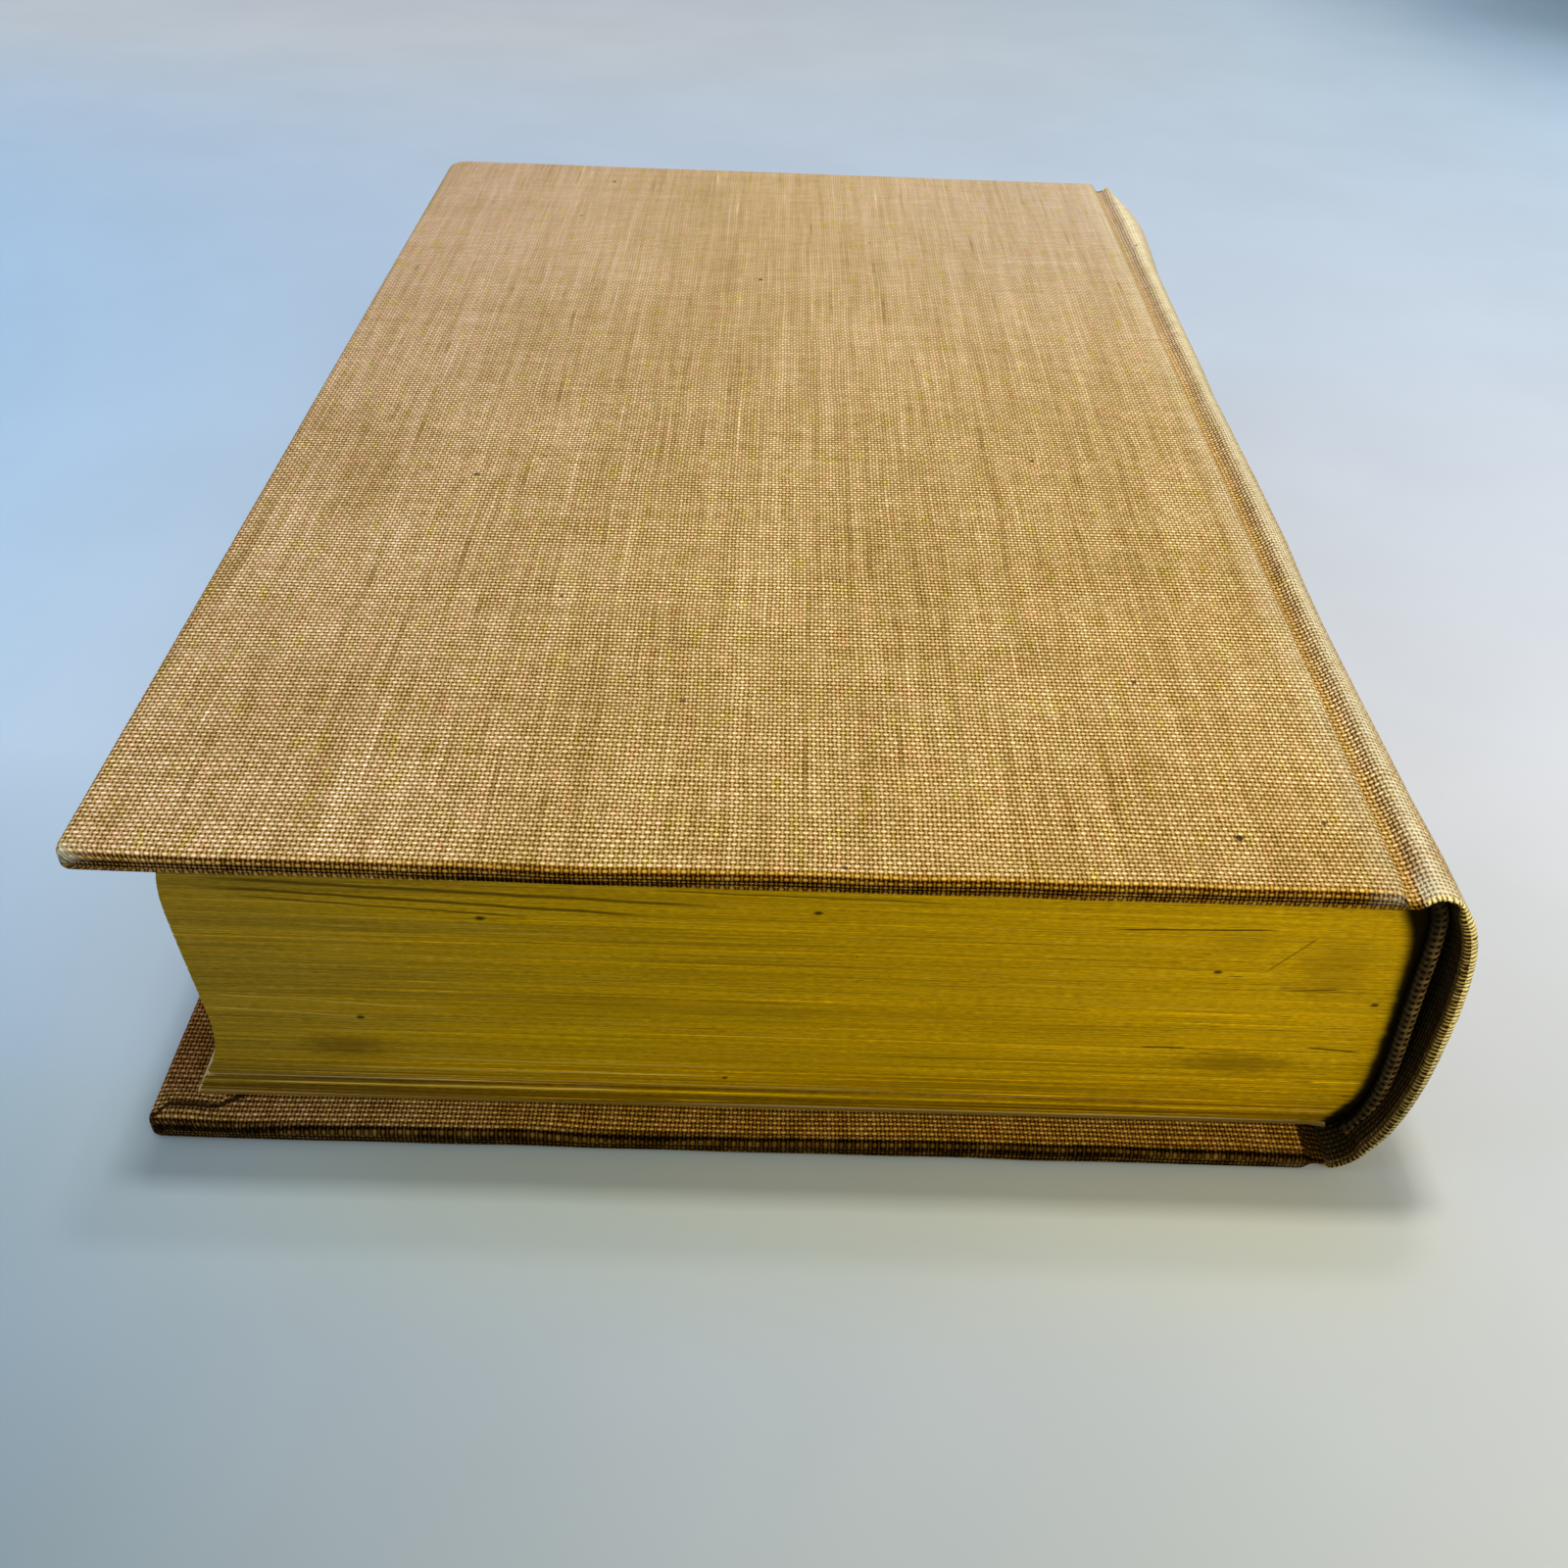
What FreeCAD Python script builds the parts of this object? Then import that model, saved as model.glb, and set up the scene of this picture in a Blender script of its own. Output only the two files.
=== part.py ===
import FreeCAD, Part
import math
import os
import re
import Sketcher

# A cloth-bound hardback book, lying closed on its rear cover.
# Millimetres, +Z up. The origin is at the middle of the footprint, on the
# surface the book lies on. -X is the fore-edge, +X the spine, -Y the head
# (top edge of the pages) and +Y the tail.
# Every profile is drawn in the XZ plane with x counted from the fore-edge of
# the boards, and each piece is then moved by -half_width, so that all sketch
# dimensions are positive. Lengths along Y are symmetrical about the middle.

os.makedirs("parts", exist_ok=True)
doc = FreeCAD.newDocument("hardback_book")

# ---------------------------------------------------------------- dimensions
DIMENSIONS = [
    ("cover_height", 235.0, "head to tail over the cloth"),
    ("total_thick", 46.2, "rear cover face to front cover face"),
    ("half_width", 76.35, "half of fore-edge to spine"),
    ("cloth", 0.4, "bookcloth"),
    ("board", 2.0, "binder's board"),
    ("board_end", 142.3, "cloth over the board's spine edge"),
    ("turn_in", 15.0, "cloth turned over the board"),
    ("corner", 2.2, "cover corner radius in plan"),
    ("edge_round", 0.55, "rounding of the cloth over a board edge"),
    ("page_height", 225.0, "head to tail of the pages"),
    ("paper", 0.2, "endpaper"),
    ("gauze", 0.15, "super glued under the pastedown"),
    ("super_reach", 26.0, "super on the inside of a board"),
    ("square", 5.0, "pastedown edge to cover edge"),
    ("groove_top", 44.4, "front joint, cloth outer face"),
    ("groove_low", 1.5, "rear joint, cloth outer face"),
    ("strip_front", 144.15, "end of the front joint strip"),
    ("strip_rear", 144.15, "end of the rear joint strip"),
    ("block_low", 3.2, "first page"),
    ("block_high", 43.0, "last page"),
    ("leaf_front_in", 8.5, "front flyleaf, fore-edge"),
    ("leaf_rear_in", 5.1, "rear flyleaf, fore-edge"),
    ("leaf_out", 144.4, "flyleaf, spine edge"),
    ("inlay", 0.55, "spine inlay card"),
    ("cap_turn_in", 15.0, "spine cloth turned in over the inlay"),
    ("lining_height", 207.0, "super and lining on the back"),
    ("super_back", 0.25, "super on the back of the pages"),
    ("lining", 0.3, "lining paper on the super"),
    ("band_bead", 1.4, "headband bead, out of the back"),
    ("band_rise", 2.0, "headband bead above the pages"),
    ("band_tape", 0.5, "headband tape"),
    ("band_tape_height", 8.0, "headband tape down the back"),
]

# Profile stations, top to bottom: x, z and the slope angle of the curve.
SPINE = [
    (144.30, 44.70, 58.0), (145.75, 45.60, 0.0), (148.10, 44.35, -50.0),
    (149.90, 41.60, -61.0), (151.30, 37.80, -72.0), (152.25, 33.00, -82.0),
    (152.70, 24.00, -90.0), (152.50, 17.50, -94.0), (151.80, 11.40, -99.5),
    (150.60, 6.60, -110.0), (148.70, 3.00, -126.0), (147.10, 1.35, -146.0),
    (145.50, 0.60, -178.0), (144.30, 1.25, -234.0),
]
BACK = [
    (145.20, 43.00, -54.0), (147.30, 38.40, -77.0), (148.00, 31.00, -86.0),
    (148.40, 22.90, -87.5), (148.65, 15.00, -90.5), (148.10, 8.60, -104.0),
    (145.30, 3.20, -131.0),
]
FORE = [
    (8.50, 43.00, -104.0), (7.45, 36.20, -93.0), (7.80, 29.40, -84.0),
    (8.45, 22.70, -85.5), (9.10, 14.60, -85.0), (8.20, 9.40, -112.0),
    (5.10, 3.20, -118.0),
]

sheet = doc.addObject("Spreadsheet::Sheet", "Sheet")
value = {}


def cell(row, alias, number, note):
    sheet.set("A%d" % row, str(number))
    sheet.setAlias("A%d" % row, alias)
    sheet.set("B%d" % row, note)
    value[alias] = float(number)


row = 1
for alias, number, note in DIMENSIONS:
    cell(row, alias, number, note)
    row += 1
for curve, stations in (("spine", SPINE), ("back", BACK), ("fore", FORE)):
    for index, (x, z, slope) in enumerate(stations):
        letter = "abcdefghijklmn"[index]
        cell(row, "%s_%s_across" % (curve, letter), x, "%s station" % curve)
        cell(row + 1, "%s_%s_up" % (curve, letter), z, "%s station" % curve)
        cell(row + 2, "%s_%s_slope" % (curve, letter), slope, "%s station" % curve)
        row += 3
doc.recompute()

for alias in value:
    value[alias] = float(getattr(sheet, alias))


def stations_of(curve, count):
    out = []
    for index in range(count):
        key = "%s_%s_" % (curve, "abcdefghijklmn"[index])
        out.append((value[key + "across"], value[key + "up"], value[key + "slope"]))
    return out


# ------------------------------------------------------------------- helpers
def term(text):
    """A sum such as "total_thick-cloth-0.5" as (expression, number)."""
    words = re.findall(r"([+-]?)\s*([a-z_]+|[0-9.]+)", text)
    expression, total = "", 0.0
    for sign, word in words:
        factor = -1.0 if sign == "-" else 1.0
        if word[0].isdigit():
            number = float(word)
            name = word
        else:
            number = value[word]
            name = "Sheet." + word
        total += factor * number
        expression += (" - " if factor < 0 else (" + " if expression else "")) + name
    return expression.strip(), total


def plane_of(body, role):
    for feature in body.Origin.OriginFeatures:
        if feature.Role == role:
            return feature
    raise RuntimeError("no origin plane " + role)


def new_body(name):
    body = doc.addObject("PartDesign::Body", name)
    body.Label = name
    body.setExpression(".Placement.Base.x", "-Sheet.half_width")
    return body


def new_sketch(body, name):
    sketch = body.newObject("Sketcher::SketchObject", name)
    sketch.AttachmentSupport = [(plane_of(body, "XZ_Plane"), "")]
    sketch.MapMode = "FlatFace"
    return sketch


def bind(sketch, kind, point, text, tag):
    """Fix one coordinate of a sketch point to a sum of sheet cells."""
    expression, number = term(text)
    if abs(number) < 1e-9:
        axis = -2 if kind == "DistanceX" else -1
        sketch.addConstraint(Sketcher.Constraint("PointOnObject", point[0], point[1], axis))
        return
    index = sketch.addConstraint(Sketcher.Constraint(kind, -1, 1, point[0], point[1], number))
    sketch.renameConstraint(index, tag)
    if "Sheet." in expression:
        sketch.setExpression("Constraints." + tag, expression)


def polygon(body, name, corners):
    """Closed polygon; every corner's x and z is a sum of sheet cells."""
    sketch = new_sketch(body, name)
    numbers = [(term(x)[1], term(z)[1]) for x, z in corners]
    count = len(numbers)
    for index in range(count):
        a, b = numbers[index], numbers[(index + 1) % count]
        sketch.addGeometry(Part.LineSegment(FreeCAD.Vector(a[0], a[1], 0),
                                            FreeCAD.Vector(b[0], b[1], 0)), False)
    for index in range(count):
        sketch.addConstraint(Sketcher.Constraint("Coincident", index, 2, (index + 1) % count, 1))
    for index, (x, z) in enumerate(corners):
        bind(sketch, "DistanceX", (index, 1), x, "across%d" % index)
        bind(sketch, "DistanceY", (index, 1), z, "up%d" % index)
    return sketch


def rectangle(body, name, x0, x1, z0, z1):
    return polygon(body, name, [(x0, z0), (x1, z0), (x1, z1), (x0, z1)])


def pad(body, name, sketch, length):
    feature = body.newObject("PartDesign::Pad", name)
    feature.Profile = sketch
    feature.Midplane = True
    feature.setExpression("Length", term(length)[0])
    return feature


def pocket(body, name, sketch, length):
    """Symmetric pocket; the solid must lose volume."""
    doc.recompute()
    before = body.Shape.Volume
    feature = body.newObject("PartDesign::Pocket", name)
    feature.Profile = sketch
    feature.Midplane = True
    feature.setExpression("Length", term(length)[0])
    doc.recompute()
    if not body.Shape.Volume < before - 1e-3:
        raise RuntimeError("pocket %s cuts nothing" % name)
    return feature


def fillet(body, name, base, radius, test):
    doc.recompute()
    names = ["Edge%d" % (i + 1) for i, edge in enumerate(base.Shape.Edges) if test(edge)]
    if not names:
        raise RuntimeError("no edges for " + name)
    feature = body.newObject("PartDesign::Fillet", name)
    feature.Base = (base, names)
    feature.setExpression("Radius", term(radius)[0])
    return feature


def unit(angle):
    return math.cos(math.radians(angle)), math.sin(math.radians(angle))


def biarcs(stations):
    """Tangent-continuous arcs through stations: (start, end, centre, radius
    signed, left positive). Each span is two arcs that meet with one tangent."""
    arcs = []
    for (x0, z0, s0), (x1, z1, s1) in zip(stations, stations[1:]):
        t0, t1 = unit(s0), unit(s1)
        v = (x1 - x0, z1 - z0)
        vt = v[0] * (t0[0] + t1[0]) + v[1] * (t0[1] + t1[1])
        tt = t0[0] * t1[0] + t0[1] * t1[1]
        vv = v[0] * v[0] + v[1] * v[1]
        if abs(1.0 - tt) < 1e-9:
            reach = vv / (4.0 * (v[0] * t1[0] + v[1] * t1[1]))
        else:
            reach = (-vt + math.sqrt(vt * vt + 2.0 * (1.0 - tt) * vv)) / (2.0 * (1.0 - tt))
        joint = (((x0 + reach * t0[0]) + (x1 - reach * t1[0])) / 2.0,
                 ((z0 + reach * t0[1]) + (z1 - reach * t1[1])) / 2.0)
        for point, other, tangent, forward in (((x0, z0), joint, t0, True),
                                               ((x1, z1), joint, t1, False)):
            normal = (-tangent[1], tangent[0])
            d = (other[0] - point[0], other[1] - point[1])
            dn = d[0] * normal[0] + d[1] * normal[1]
            if abs(dn) < 1e-7:
                dn = 1e-7
            radius = (d[0] * d[0] + d[1] * d[1]) / (2.0 * dn)
            centre = (point[0] + normal[0] * radius, point[1] + normal[1] * radius)
            arcs.append((point, joint, centre, radius) if forward
                        else (joint, point, centre, radius))
    return arcs


def offset(arcs, distance):
    """The same chain moved to the left of its direction by distance."""
    out = []
    for start, end, centre, radius in arcs:
        scale = (radius - distance) / radius
        move = lambda p: (centre[0] + (p[0] - centre[0]) * scale,
                          centre[1] + (p[1] - centre[1]) * scale)
        out.append((move(start), move(end), centre, radius - distance))
    return out


def middle(arc):
    start, end, centre, radius = arc
    m = ((start[0] + end[0]) / 2.0 - centre[0], (start[1] + end[1]) / 2.0 - centre[1])
    length = math.hypot(m[0], m[1])
    return (centre[0] + m[0] / length * abs(radius), centre[1] + m[1] / length * abs(radius))


def curve_profile(body, name, pieces):
    """Closed profile from arcs and straight lines. pieces is a list of
    ("arcs", chain, reversed) and ("line", a, b)."""
    sketch = new_sketch(body, name)
    geometry, ends = [], []
    for piece in pieces:
        if piece[0] == "arcs":
            chain = piece[1]
            order = reversed(chain) if piece[2] else chain
            for arc in order:
                a, b = (arc[1], arc[0]) if piece[2] else (arc[0], arc[1])
                if abs(arc[3]) > 5e3:
                    shape = Part.LineSegment(FreeCAD.Vector(a[0], a[1], 0),
                                             FreeCAD.Vector(b[0], b[1], 0))
                else:
                    m = middle(arc)
                    shape = Part.Arc(FreeCAD.Vector(a[0], a[1], 0),
                                     FreeCAD.Vector(m[0], m[1], 0),
                                     FreeCAD.Vector(b[0], b[1], 0))
                geometry.append(shape)
                ends.append((a, b))
        else:
            a, b = piece[1], piece[2]
            geometry.append(Part.LineSegment(FreeCAD.Vector(a[0], a[1], 0),
                                             FreeCAD.Vector(b[0], b[1], 0)))
            ends.append((a, b))
    for shape in geometry:
        sketch.addGeometry(shape, False)
    for index in range(len(geometry)):
        sketch.addConstraint(Sketcher.Constraint("Block", index))
    return sketch


def band(body, name, chain, near, far):
    """Closed band between two offsets of one chain."""
    a, b = offset(chain, near), offset(chain, far)
    return curve_profile(body, name, [
        ("arcs", a, False), ("line", a[-1][1], b[-1][1]),
        ("arcs", b, True), ("line", b[0][0], a[0][0])])


spine_chain = biarcs(stations_of("spine", len(SPINE)))
back_chain = biarcs(stations_of("back", len(BACK)))
fore_chain = biarcs(stations_of("fore", len(FORE)))
# The inlay and the turned-in cloth leave out the first and last spans.
inner_chain = spine_chain[4:-6]

bodies = []

# ---------------------------------------------------------------- text block
# All the leaves in one solid, with a rounded back and a fore-edge that has
# slumped out of true.
text_block = new_body("text_block")
profile = curve_profile(text_block, "text_block_profile", [
    ("arcs", back_chain, False),
    ("line", back_chain[-1][1], fore_chain[-1][1]),
    ("arcs", fore_chain, True),
    ("line", fore_chain[0][0], back_chain[0][0])])
pad(text_block, "text_block_pad", profile, "page_height")
bodies.append(text_block)

# Free leaves of the endpapers, one on each face of the block.
front_flyleaf = new_body("front_flyleaf")
pad(front_flyleaf, "front_flyleaf_pad",
    rectangle(front_flyleaf, "front_flyleaf_section", "leaf_front_in", "leaf_out",
              "block_high", "block_high+paper"), "page_height")
bodies.append(front_flyleaf)

rear_flyleaf = new_body("rear_flyleaf")
pad(rear_flyleaf, "rear_flyleaf_pad",
    rectangle(rear_flyleaf, "rear_flyleaf_section", "leaf_rear_in", "leaf_out",
              "block_low-paper", "block_low"), "page_height")
bodies.append(rear_flyleaf)

# ------------------------------------------------------- linings of the back
spine_super = new_body("spine_super")
pad(spine_super, "spine_super_pad",
    band(spine_super, "spine_super_section", back_chain, 0.0, value["super_back"]),
    "lining_height")
bodies.append(spine_super)

spine_lining_paper = new_body("spine_lining_paper")
pad(spine_lining_paper, "spine_lining_paper_pad",
    band(spine_lining_paper, "spine_lining_paper_section", back_chain[1:-1],
         value["super_back"], value["super_back"] + value["lining"]), "lining_height")
bodies.append(spine_lining_paper)


def headband(name, side):
    """Sewn bead that stands above the pages, on a tape glued to the back."""
    body = new_body(name)
    bead = pad(body, name + "_bead",
               band(body, name + "_bead_section", back_chain[1:-1],
                    -0.3, value["band_bead"]), "band_rise")
    body.setExpression(".Placement.Base.y",
                       "%s(Sheet.page_height + Sheet.band_rise) / 2" % side)
    tape_sketch = band(body, name + "_tape_section", back_chain[1:-1], 0.0, value["band_tape"])
    tape = body.newObject("PartDesign::Pad", name + "_tape")
    tape.Profile = tape_sketch
    # The section's normal is -Y, so the head's tape runs against it.
    tape.Reversed = side == "-"
    tape.setExpression("Length", "Sheet.band_tape_height + Sheet.band_rise / 2")
    bodies.append(body)
    return body


headband("head_band", "-")
headband("tail_band", "")

# --------------------------------------------------------------------- spine
spine_inlay = new_body("spine_inlay")
pad(spine_inlay, "spine_inlay_pad",
    band(spine_inlay, "spine_inlay_section", inner_chain,
         -value["cloth"], -value["cloth"] - value["inlay"]), "cover_height-cloth-cloth")
bodies.append(spine_inlay)

spine_cloth = new_body("spine_cloth")
pad(spine_cloth, "spine_cloth_skin",
    band(spine_cloth, "spine_cloth_skin_section", spine_chain, 0.0, -value["cloth"]),
    "cover_height")
pad(spine_cloth, "spine_cloth_caps",
    band(spine_cloth, "spine_cloth_caps_section", inner_chain,
         -value["cloth"], -2 * value["cloth"] - value["inlay"]), "cover_height")
pocket(spine_cloth, "spine_cloth_room_for_inlay",
       band(spine_cloth, "spine_cloth_inlay_section", inner_chain,
            -value["cloth"], -value["cloth"] - value["inlay"]),
       "cover_height-cloth-cloth")
wide = band(spine_cloth, "spine_cloth_open_section", inner_chain,
            -value["cloth"] - value["inlay"], -2 * value["cloth"] - value["inlay"] - 0.2)
pocket(spine_cloth, "spine_cloth_turn_in_edge", wide,
       "cover_height-cap_turn_in-cap_turn_in")
bodies.append(spine_cloth)


# -------------------------------------------------------------------- covers
def along_y(edge):
    v = edge.Vertexes
    return (len(v) == 2 and abs(v[0].X - v[1].X) < 1e-6 and abs(v[0].Z - v[1].Z) < 1e-6)


def upright(edge):
    v = edge.Vertexes
    return (len(v) == 2 and abs(v[0].X - v[1].X) < 1e-6 and abs(v[0].Y - v[1].Y) < 1e-6)


def cover(side):
    front = side == "front"
    # face: outer face of the cloth. up: heights from that face inwards.
    if front:
        def level(text):
            words = re.findall(r"([+-]?)([a-z_]+|[0-9.]+)", text)
            return "total_thick" + "".join(
                ("+" if sign == "-" else "-") + word for sign, word in words)
        groove_outer, groove_inner = "groove_top", "groove_top-cloth"
        end = "strip_front"
    else:
        def level(text):
            return text
        groove_outer, groove_inner = "groove_low", "groove_low+cloth"
        end = "strip_rear"

    # Bookcloth round the board: outer skin, three turned edges, turn-ins and
    # the strip that crosses the joint.
    cloth_body = new_body(side + "_cover_cloth")
    face = level("0") if not front else "total_thick"
    top = level("cloth+board+cloth")
    section = polygon(cloth_body, side + "_cloth_section", [
        ("0", face), ("board_end", face), ("board_end", groove_outer),
        (end, groove_outer), (end, groove_inner), ("board_end", groove_inner),
        ("board_end", top), ("0", top)])
    solid = pad(cloth_body, side + "_cloth_pad", section, "cover_height")
    high = value["cover_height"] / 2.0
    face_z = term(face)[1]
    inner_z = term(top)[1]

    def corner(edge):
        v = edge.Vertexes
        return (upright(edge) and abs(v[0].X) < 1e-3 and abs(abs(v[0].Y) - high) < 1e-3)

    doc.recompute()
    rounded = fillet(cloth_body, side + "_cloth_corners", solid, "corner", corner)
    doc.recompute()

    def rim(edge):
        box = edge.BoundBox
        flat = abs(box.ZMax - face_z) < 1e-3 and abs(box.ZMin - face_z) < 1e-3
        rim_in = abs(box.ZMax - inner_z) < 1e-3 and abs(box.ZMin - inner_z) < 1e-3
        if not (flat or rim_in):
            return False
        at_end = box.XMin > value["board_end"] - 1e-3
        return not (at_end and rim_in)

    fillet(cloth_body, side + "_cloth_rim", rounded, "edge_round", rim)
    doc.recompute()
    pocket(cloth_body, side + "_cloth_room_for_board",
           rectangle(cloth_body, side + "_cloth_board_section", "cloth", "board_end-cloth",
                     level("cloth"), level("cloth+board")), "cover_height-cloth-cloth")
    window_top = level("cloth+board+cloth+1")
    pocket(cloth_body, side + "_cloth_window",
           rectangle(cloth_body, side + "_cloth_window_section", "turn_in", "board_end+0.5",
                     level("cloth+board"), window_top), "cover_height-turn_in-turn_in")
    bodies.append(cloth_body)

    board_body = new_body(side + "_board")
    pad(board_body, side + "_board_pad",
        rectangle(board_body, side + "_board_section", "cloth", "board_end-cloth",
                  level("cloth"), level("cloth+board")), "cover_height-cloth-cloth")
    bodies.append(board_body)

    # Gauze on the inside of the board, under the pastedown.
    flange = new_body(side + "_super_flange")
    pad(flange, side + "_super_flange_pad",
        rectangle(flange, side + "_super_flange_section", "board_end-super_reach",
                  "board_end-cloth", level("cloth+board"), level("cloth+board+gauze")),
        "cover_height-turn_in-turn_in")
    bodies.append(flange)

    # Endpaper leaf pasted to the board, stepped up over the turn-ins.
    paste = new_body(side + "_pastedown")
    pad(paste, side + "_pastedown_rim",
        rectangle(paste, side + "_pastedown_rim_section", "square", "board_end-cloth",
                  level("cloth+board+cloth"), level("cloth+board+cloth+gauze")),
        "cover_height-square-square")
    pad(paste, side + "_pastedown_middle",
        rectangle(paste, side + "_pastedown_middle_section", "turn_in", "board_end-cloth",
                  level("cloth+board+gauze"), level("cloth+board+cloth+gauze")),
        "cover_height-turn_in-turn_in")
    pocket(paste, side + "_pastedown_step",
           rectangle(paste, side + "_pastedown_step_section", "turn_in+paper",
                     "board_end+1", level("cloth+board+gauze+paper"),
                     level("cloth+board+cloth+gauze+1")),
           "cover_height-turn_in-turn_in-paper-paper")
    bodies.append(paste)


cover("front")
cover("rear")

# ------------------------------------------------------------ check and write
doc.recompute()
for item in doc.Objects:
    states = [str(word) for word in item.State]
    if "Invalid" in states or "Error" in states:
        raise RuntimeError("%s is %s" % (item.Label, states))
for body in bodies:
    shape = body.Shape
    if shape.isNull() or not shape.isValid():
        raise RuntimeError("bad shape: " + body.Label)
    if len(shape.Solids) < 1:
        raise RuntimeError("no solid: " + body.Label)
for body in bodies:
    body.Shape.exportStep("parts/%s.step" % body.Label)
    box = body.Shape.BoundBox
    print("%-20s solids %d volume %10.2f  x %8.2f %8.2f  y %8.2f %8.2f  z %7.2f %7.2f" % (
        body.Label, len(body.Shape.Solids), body.Shape.Volume,
        box.XMin, box.XMax, box.YMin, box.YMax, box.ZMin, box.ZMax))
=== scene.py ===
import math

import bmesh
import bpy
import numpy as np
from mathutils import Matrix, Vector


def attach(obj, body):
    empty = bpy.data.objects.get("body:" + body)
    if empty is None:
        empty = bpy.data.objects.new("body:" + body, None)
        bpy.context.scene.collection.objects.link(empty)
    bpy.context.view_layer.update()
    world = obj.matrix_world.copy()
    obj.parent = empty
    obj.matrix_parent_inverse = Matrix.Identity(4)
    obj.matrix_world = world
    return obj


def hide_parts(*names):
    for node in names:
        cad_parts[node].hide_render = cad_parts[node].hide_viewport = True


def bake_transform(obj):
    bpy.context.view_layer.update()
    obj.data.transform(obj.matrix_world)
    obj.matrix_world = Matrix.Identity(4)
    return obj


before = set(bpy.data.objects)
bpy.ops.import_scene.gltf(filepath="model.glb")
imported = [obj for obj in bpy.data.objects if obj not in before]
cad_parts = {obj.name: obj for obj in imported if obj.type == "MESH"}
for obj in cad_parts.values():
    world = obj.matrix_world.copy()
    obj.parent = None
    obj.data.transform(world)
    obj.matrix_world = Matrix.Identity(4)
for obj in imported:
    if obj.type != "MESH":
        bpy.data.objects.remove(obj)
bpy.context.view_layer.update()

# Profiles are in millimetres, x counted from the fore-edge of the boards, z up
# from the floor, y from the middle of the book (head at -Y, tail at +Y).
HALF_W = 76.35
HALF_H = 117.5
MM = 0.001
TOTAL = 46.2


# ------------------------------------------------------------------ numerics
def value_noise(x, y, seed):
    """Smooth noise in -1..1 on a seeded lattice."""
    table = np.random.default_rng(seed).uniform(-1, 1, (97, 97))
    x, y = np.broadcast_arrays(np.asarray(x, float), np.asarray(y, float))
    xi, yi = np.floor(x).astype(int), np.floor(y).astype(int)
    fx, fy = x - xi, y - yi
    fx, fy = fx * fx * (3 - 2 * fx), fy * fy * (3 - 2 * fy)
    a, b = table[xi % 97, yi % 97], table[(xi + 1) % 97, yi % 97]
    c, d = table[xi % 97, (yi + 1) % 97], table[(xi + 1) % 97, (yi + 1) % 97]
    return (a * (1 - fx) + b * fx) * (1 - fy) + (c * (1 - fx) + d * fx) * fy


def smooth(x, low, high):
    t = np.clip((np.asarray(x, float) - low) / (high - low), 0, 1)
    return t * t * (3 - 2 * t)


def curve_through(points, count, tension=0.5):
    """Evenly spaced points on a Catmull-Rom curve through the given ones."""
    p = np.array(points, float)
    p = np.vstack([2 * p[0] - p[1], p, 2 * p[-1] - p[-2]])
    dense = []
    for k in range(1, len(p) - 2):
        t = np.linspace(0, 1, 24, endpoint=False)[:, None]
        m0, m1 = tension * (p[k + 1] - p[k - 1]), tension * (p[k + 2] - p[k])
        dense.append((2 * t**3 - 3 * t**2 + 1) * p[k] + (t**3 - 2 * t**2 + t) * m0
                     + (-2 * t**3 + 3 * t**2) * p[k + 1] + (t**3 - t**2) * m1)
    dense = np.vstack(dense + [p[-2][None]])
    s = np.r_[0, np.cumsum(np.linalg.norm(np.diff(dense, axis=0), axis=1))]
    want = np.linspace(0, s[-1], count)
    return np.c_[np.interp(want, s, dense[:, 0]), np.interp(want, s, dense[:, 1])]


def normals_of(points):
    """Unit normals to the left of the direction of travel."""
    d = np.gradient(points, axis=0)
    d /= np.linalg.norm(d, axis=1)[:, None]
    return np.c_[-d[:, 1], d[:, 0]]


def object_from(name, verts_mm, faces, loop_uv=None, point_attrs=None, smooth_angle=None):
    """A mesh object from millimetre vertices in the profile frame."""
    v = np.array(verts_mm, float)
    rest = v.copy()
    v = np.c_[v[:, 0] - HALF_W, v[:, 1], v[:, 2]] * MM
    mesh = bpy.data.meshes.new(name)
    mesh.from_pydata(v.tolist(), [], [list(map(int, f)) for f in faces])
    mesh.update()
    if loop_uv is not None:
        layer = mesh.uv_layers.new(name="cloth")
        layer.data.foreach_set("uv", np.asarray(loop_uv, np.float32).ravel())
    attribute = mesh.attributes.new("rest", "FLOAT_VECTOR", "POINT")
    attribute.data.foreach_set("vector", rest.astype(np.float32).ravel())
    for key, values in (point_attrs or {}).items():
        attribute = mesh.attributes.new(key, "FLOAT", "POINT")
        attribute.data.foreach_set("value", np.asarray(values, np.float32))
    bm = bmesh.new()
    bm.from_mesh(mesh)
    bmesh.ops.recalc_face_normals(bm, faces=bm.faces)
    bm.to_mesh(mesh)
    bm.free()
    for polygon in mesh.polygons:
        polygon.use_smooth = True
    if smooth_angle is not None:
        mesh.set_sharp_from_angle(angle=math.radians(smooth_angle))
    obj = bpy.data.objects.new(name, mesh)
    bpy.context.scene.collection.objects.link(obj)
    return obj


# ------------------------------------------------------------ material nodes
def srgb(r, g, b):
    out = []
    for c in (r, g, b):
        c /= 255.0
        out.append(c / 12.92 if c <= 0.04045 else ((c + 0.055) / 1.055) ** 2.4)
    return (*out, 1.0)


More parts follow.
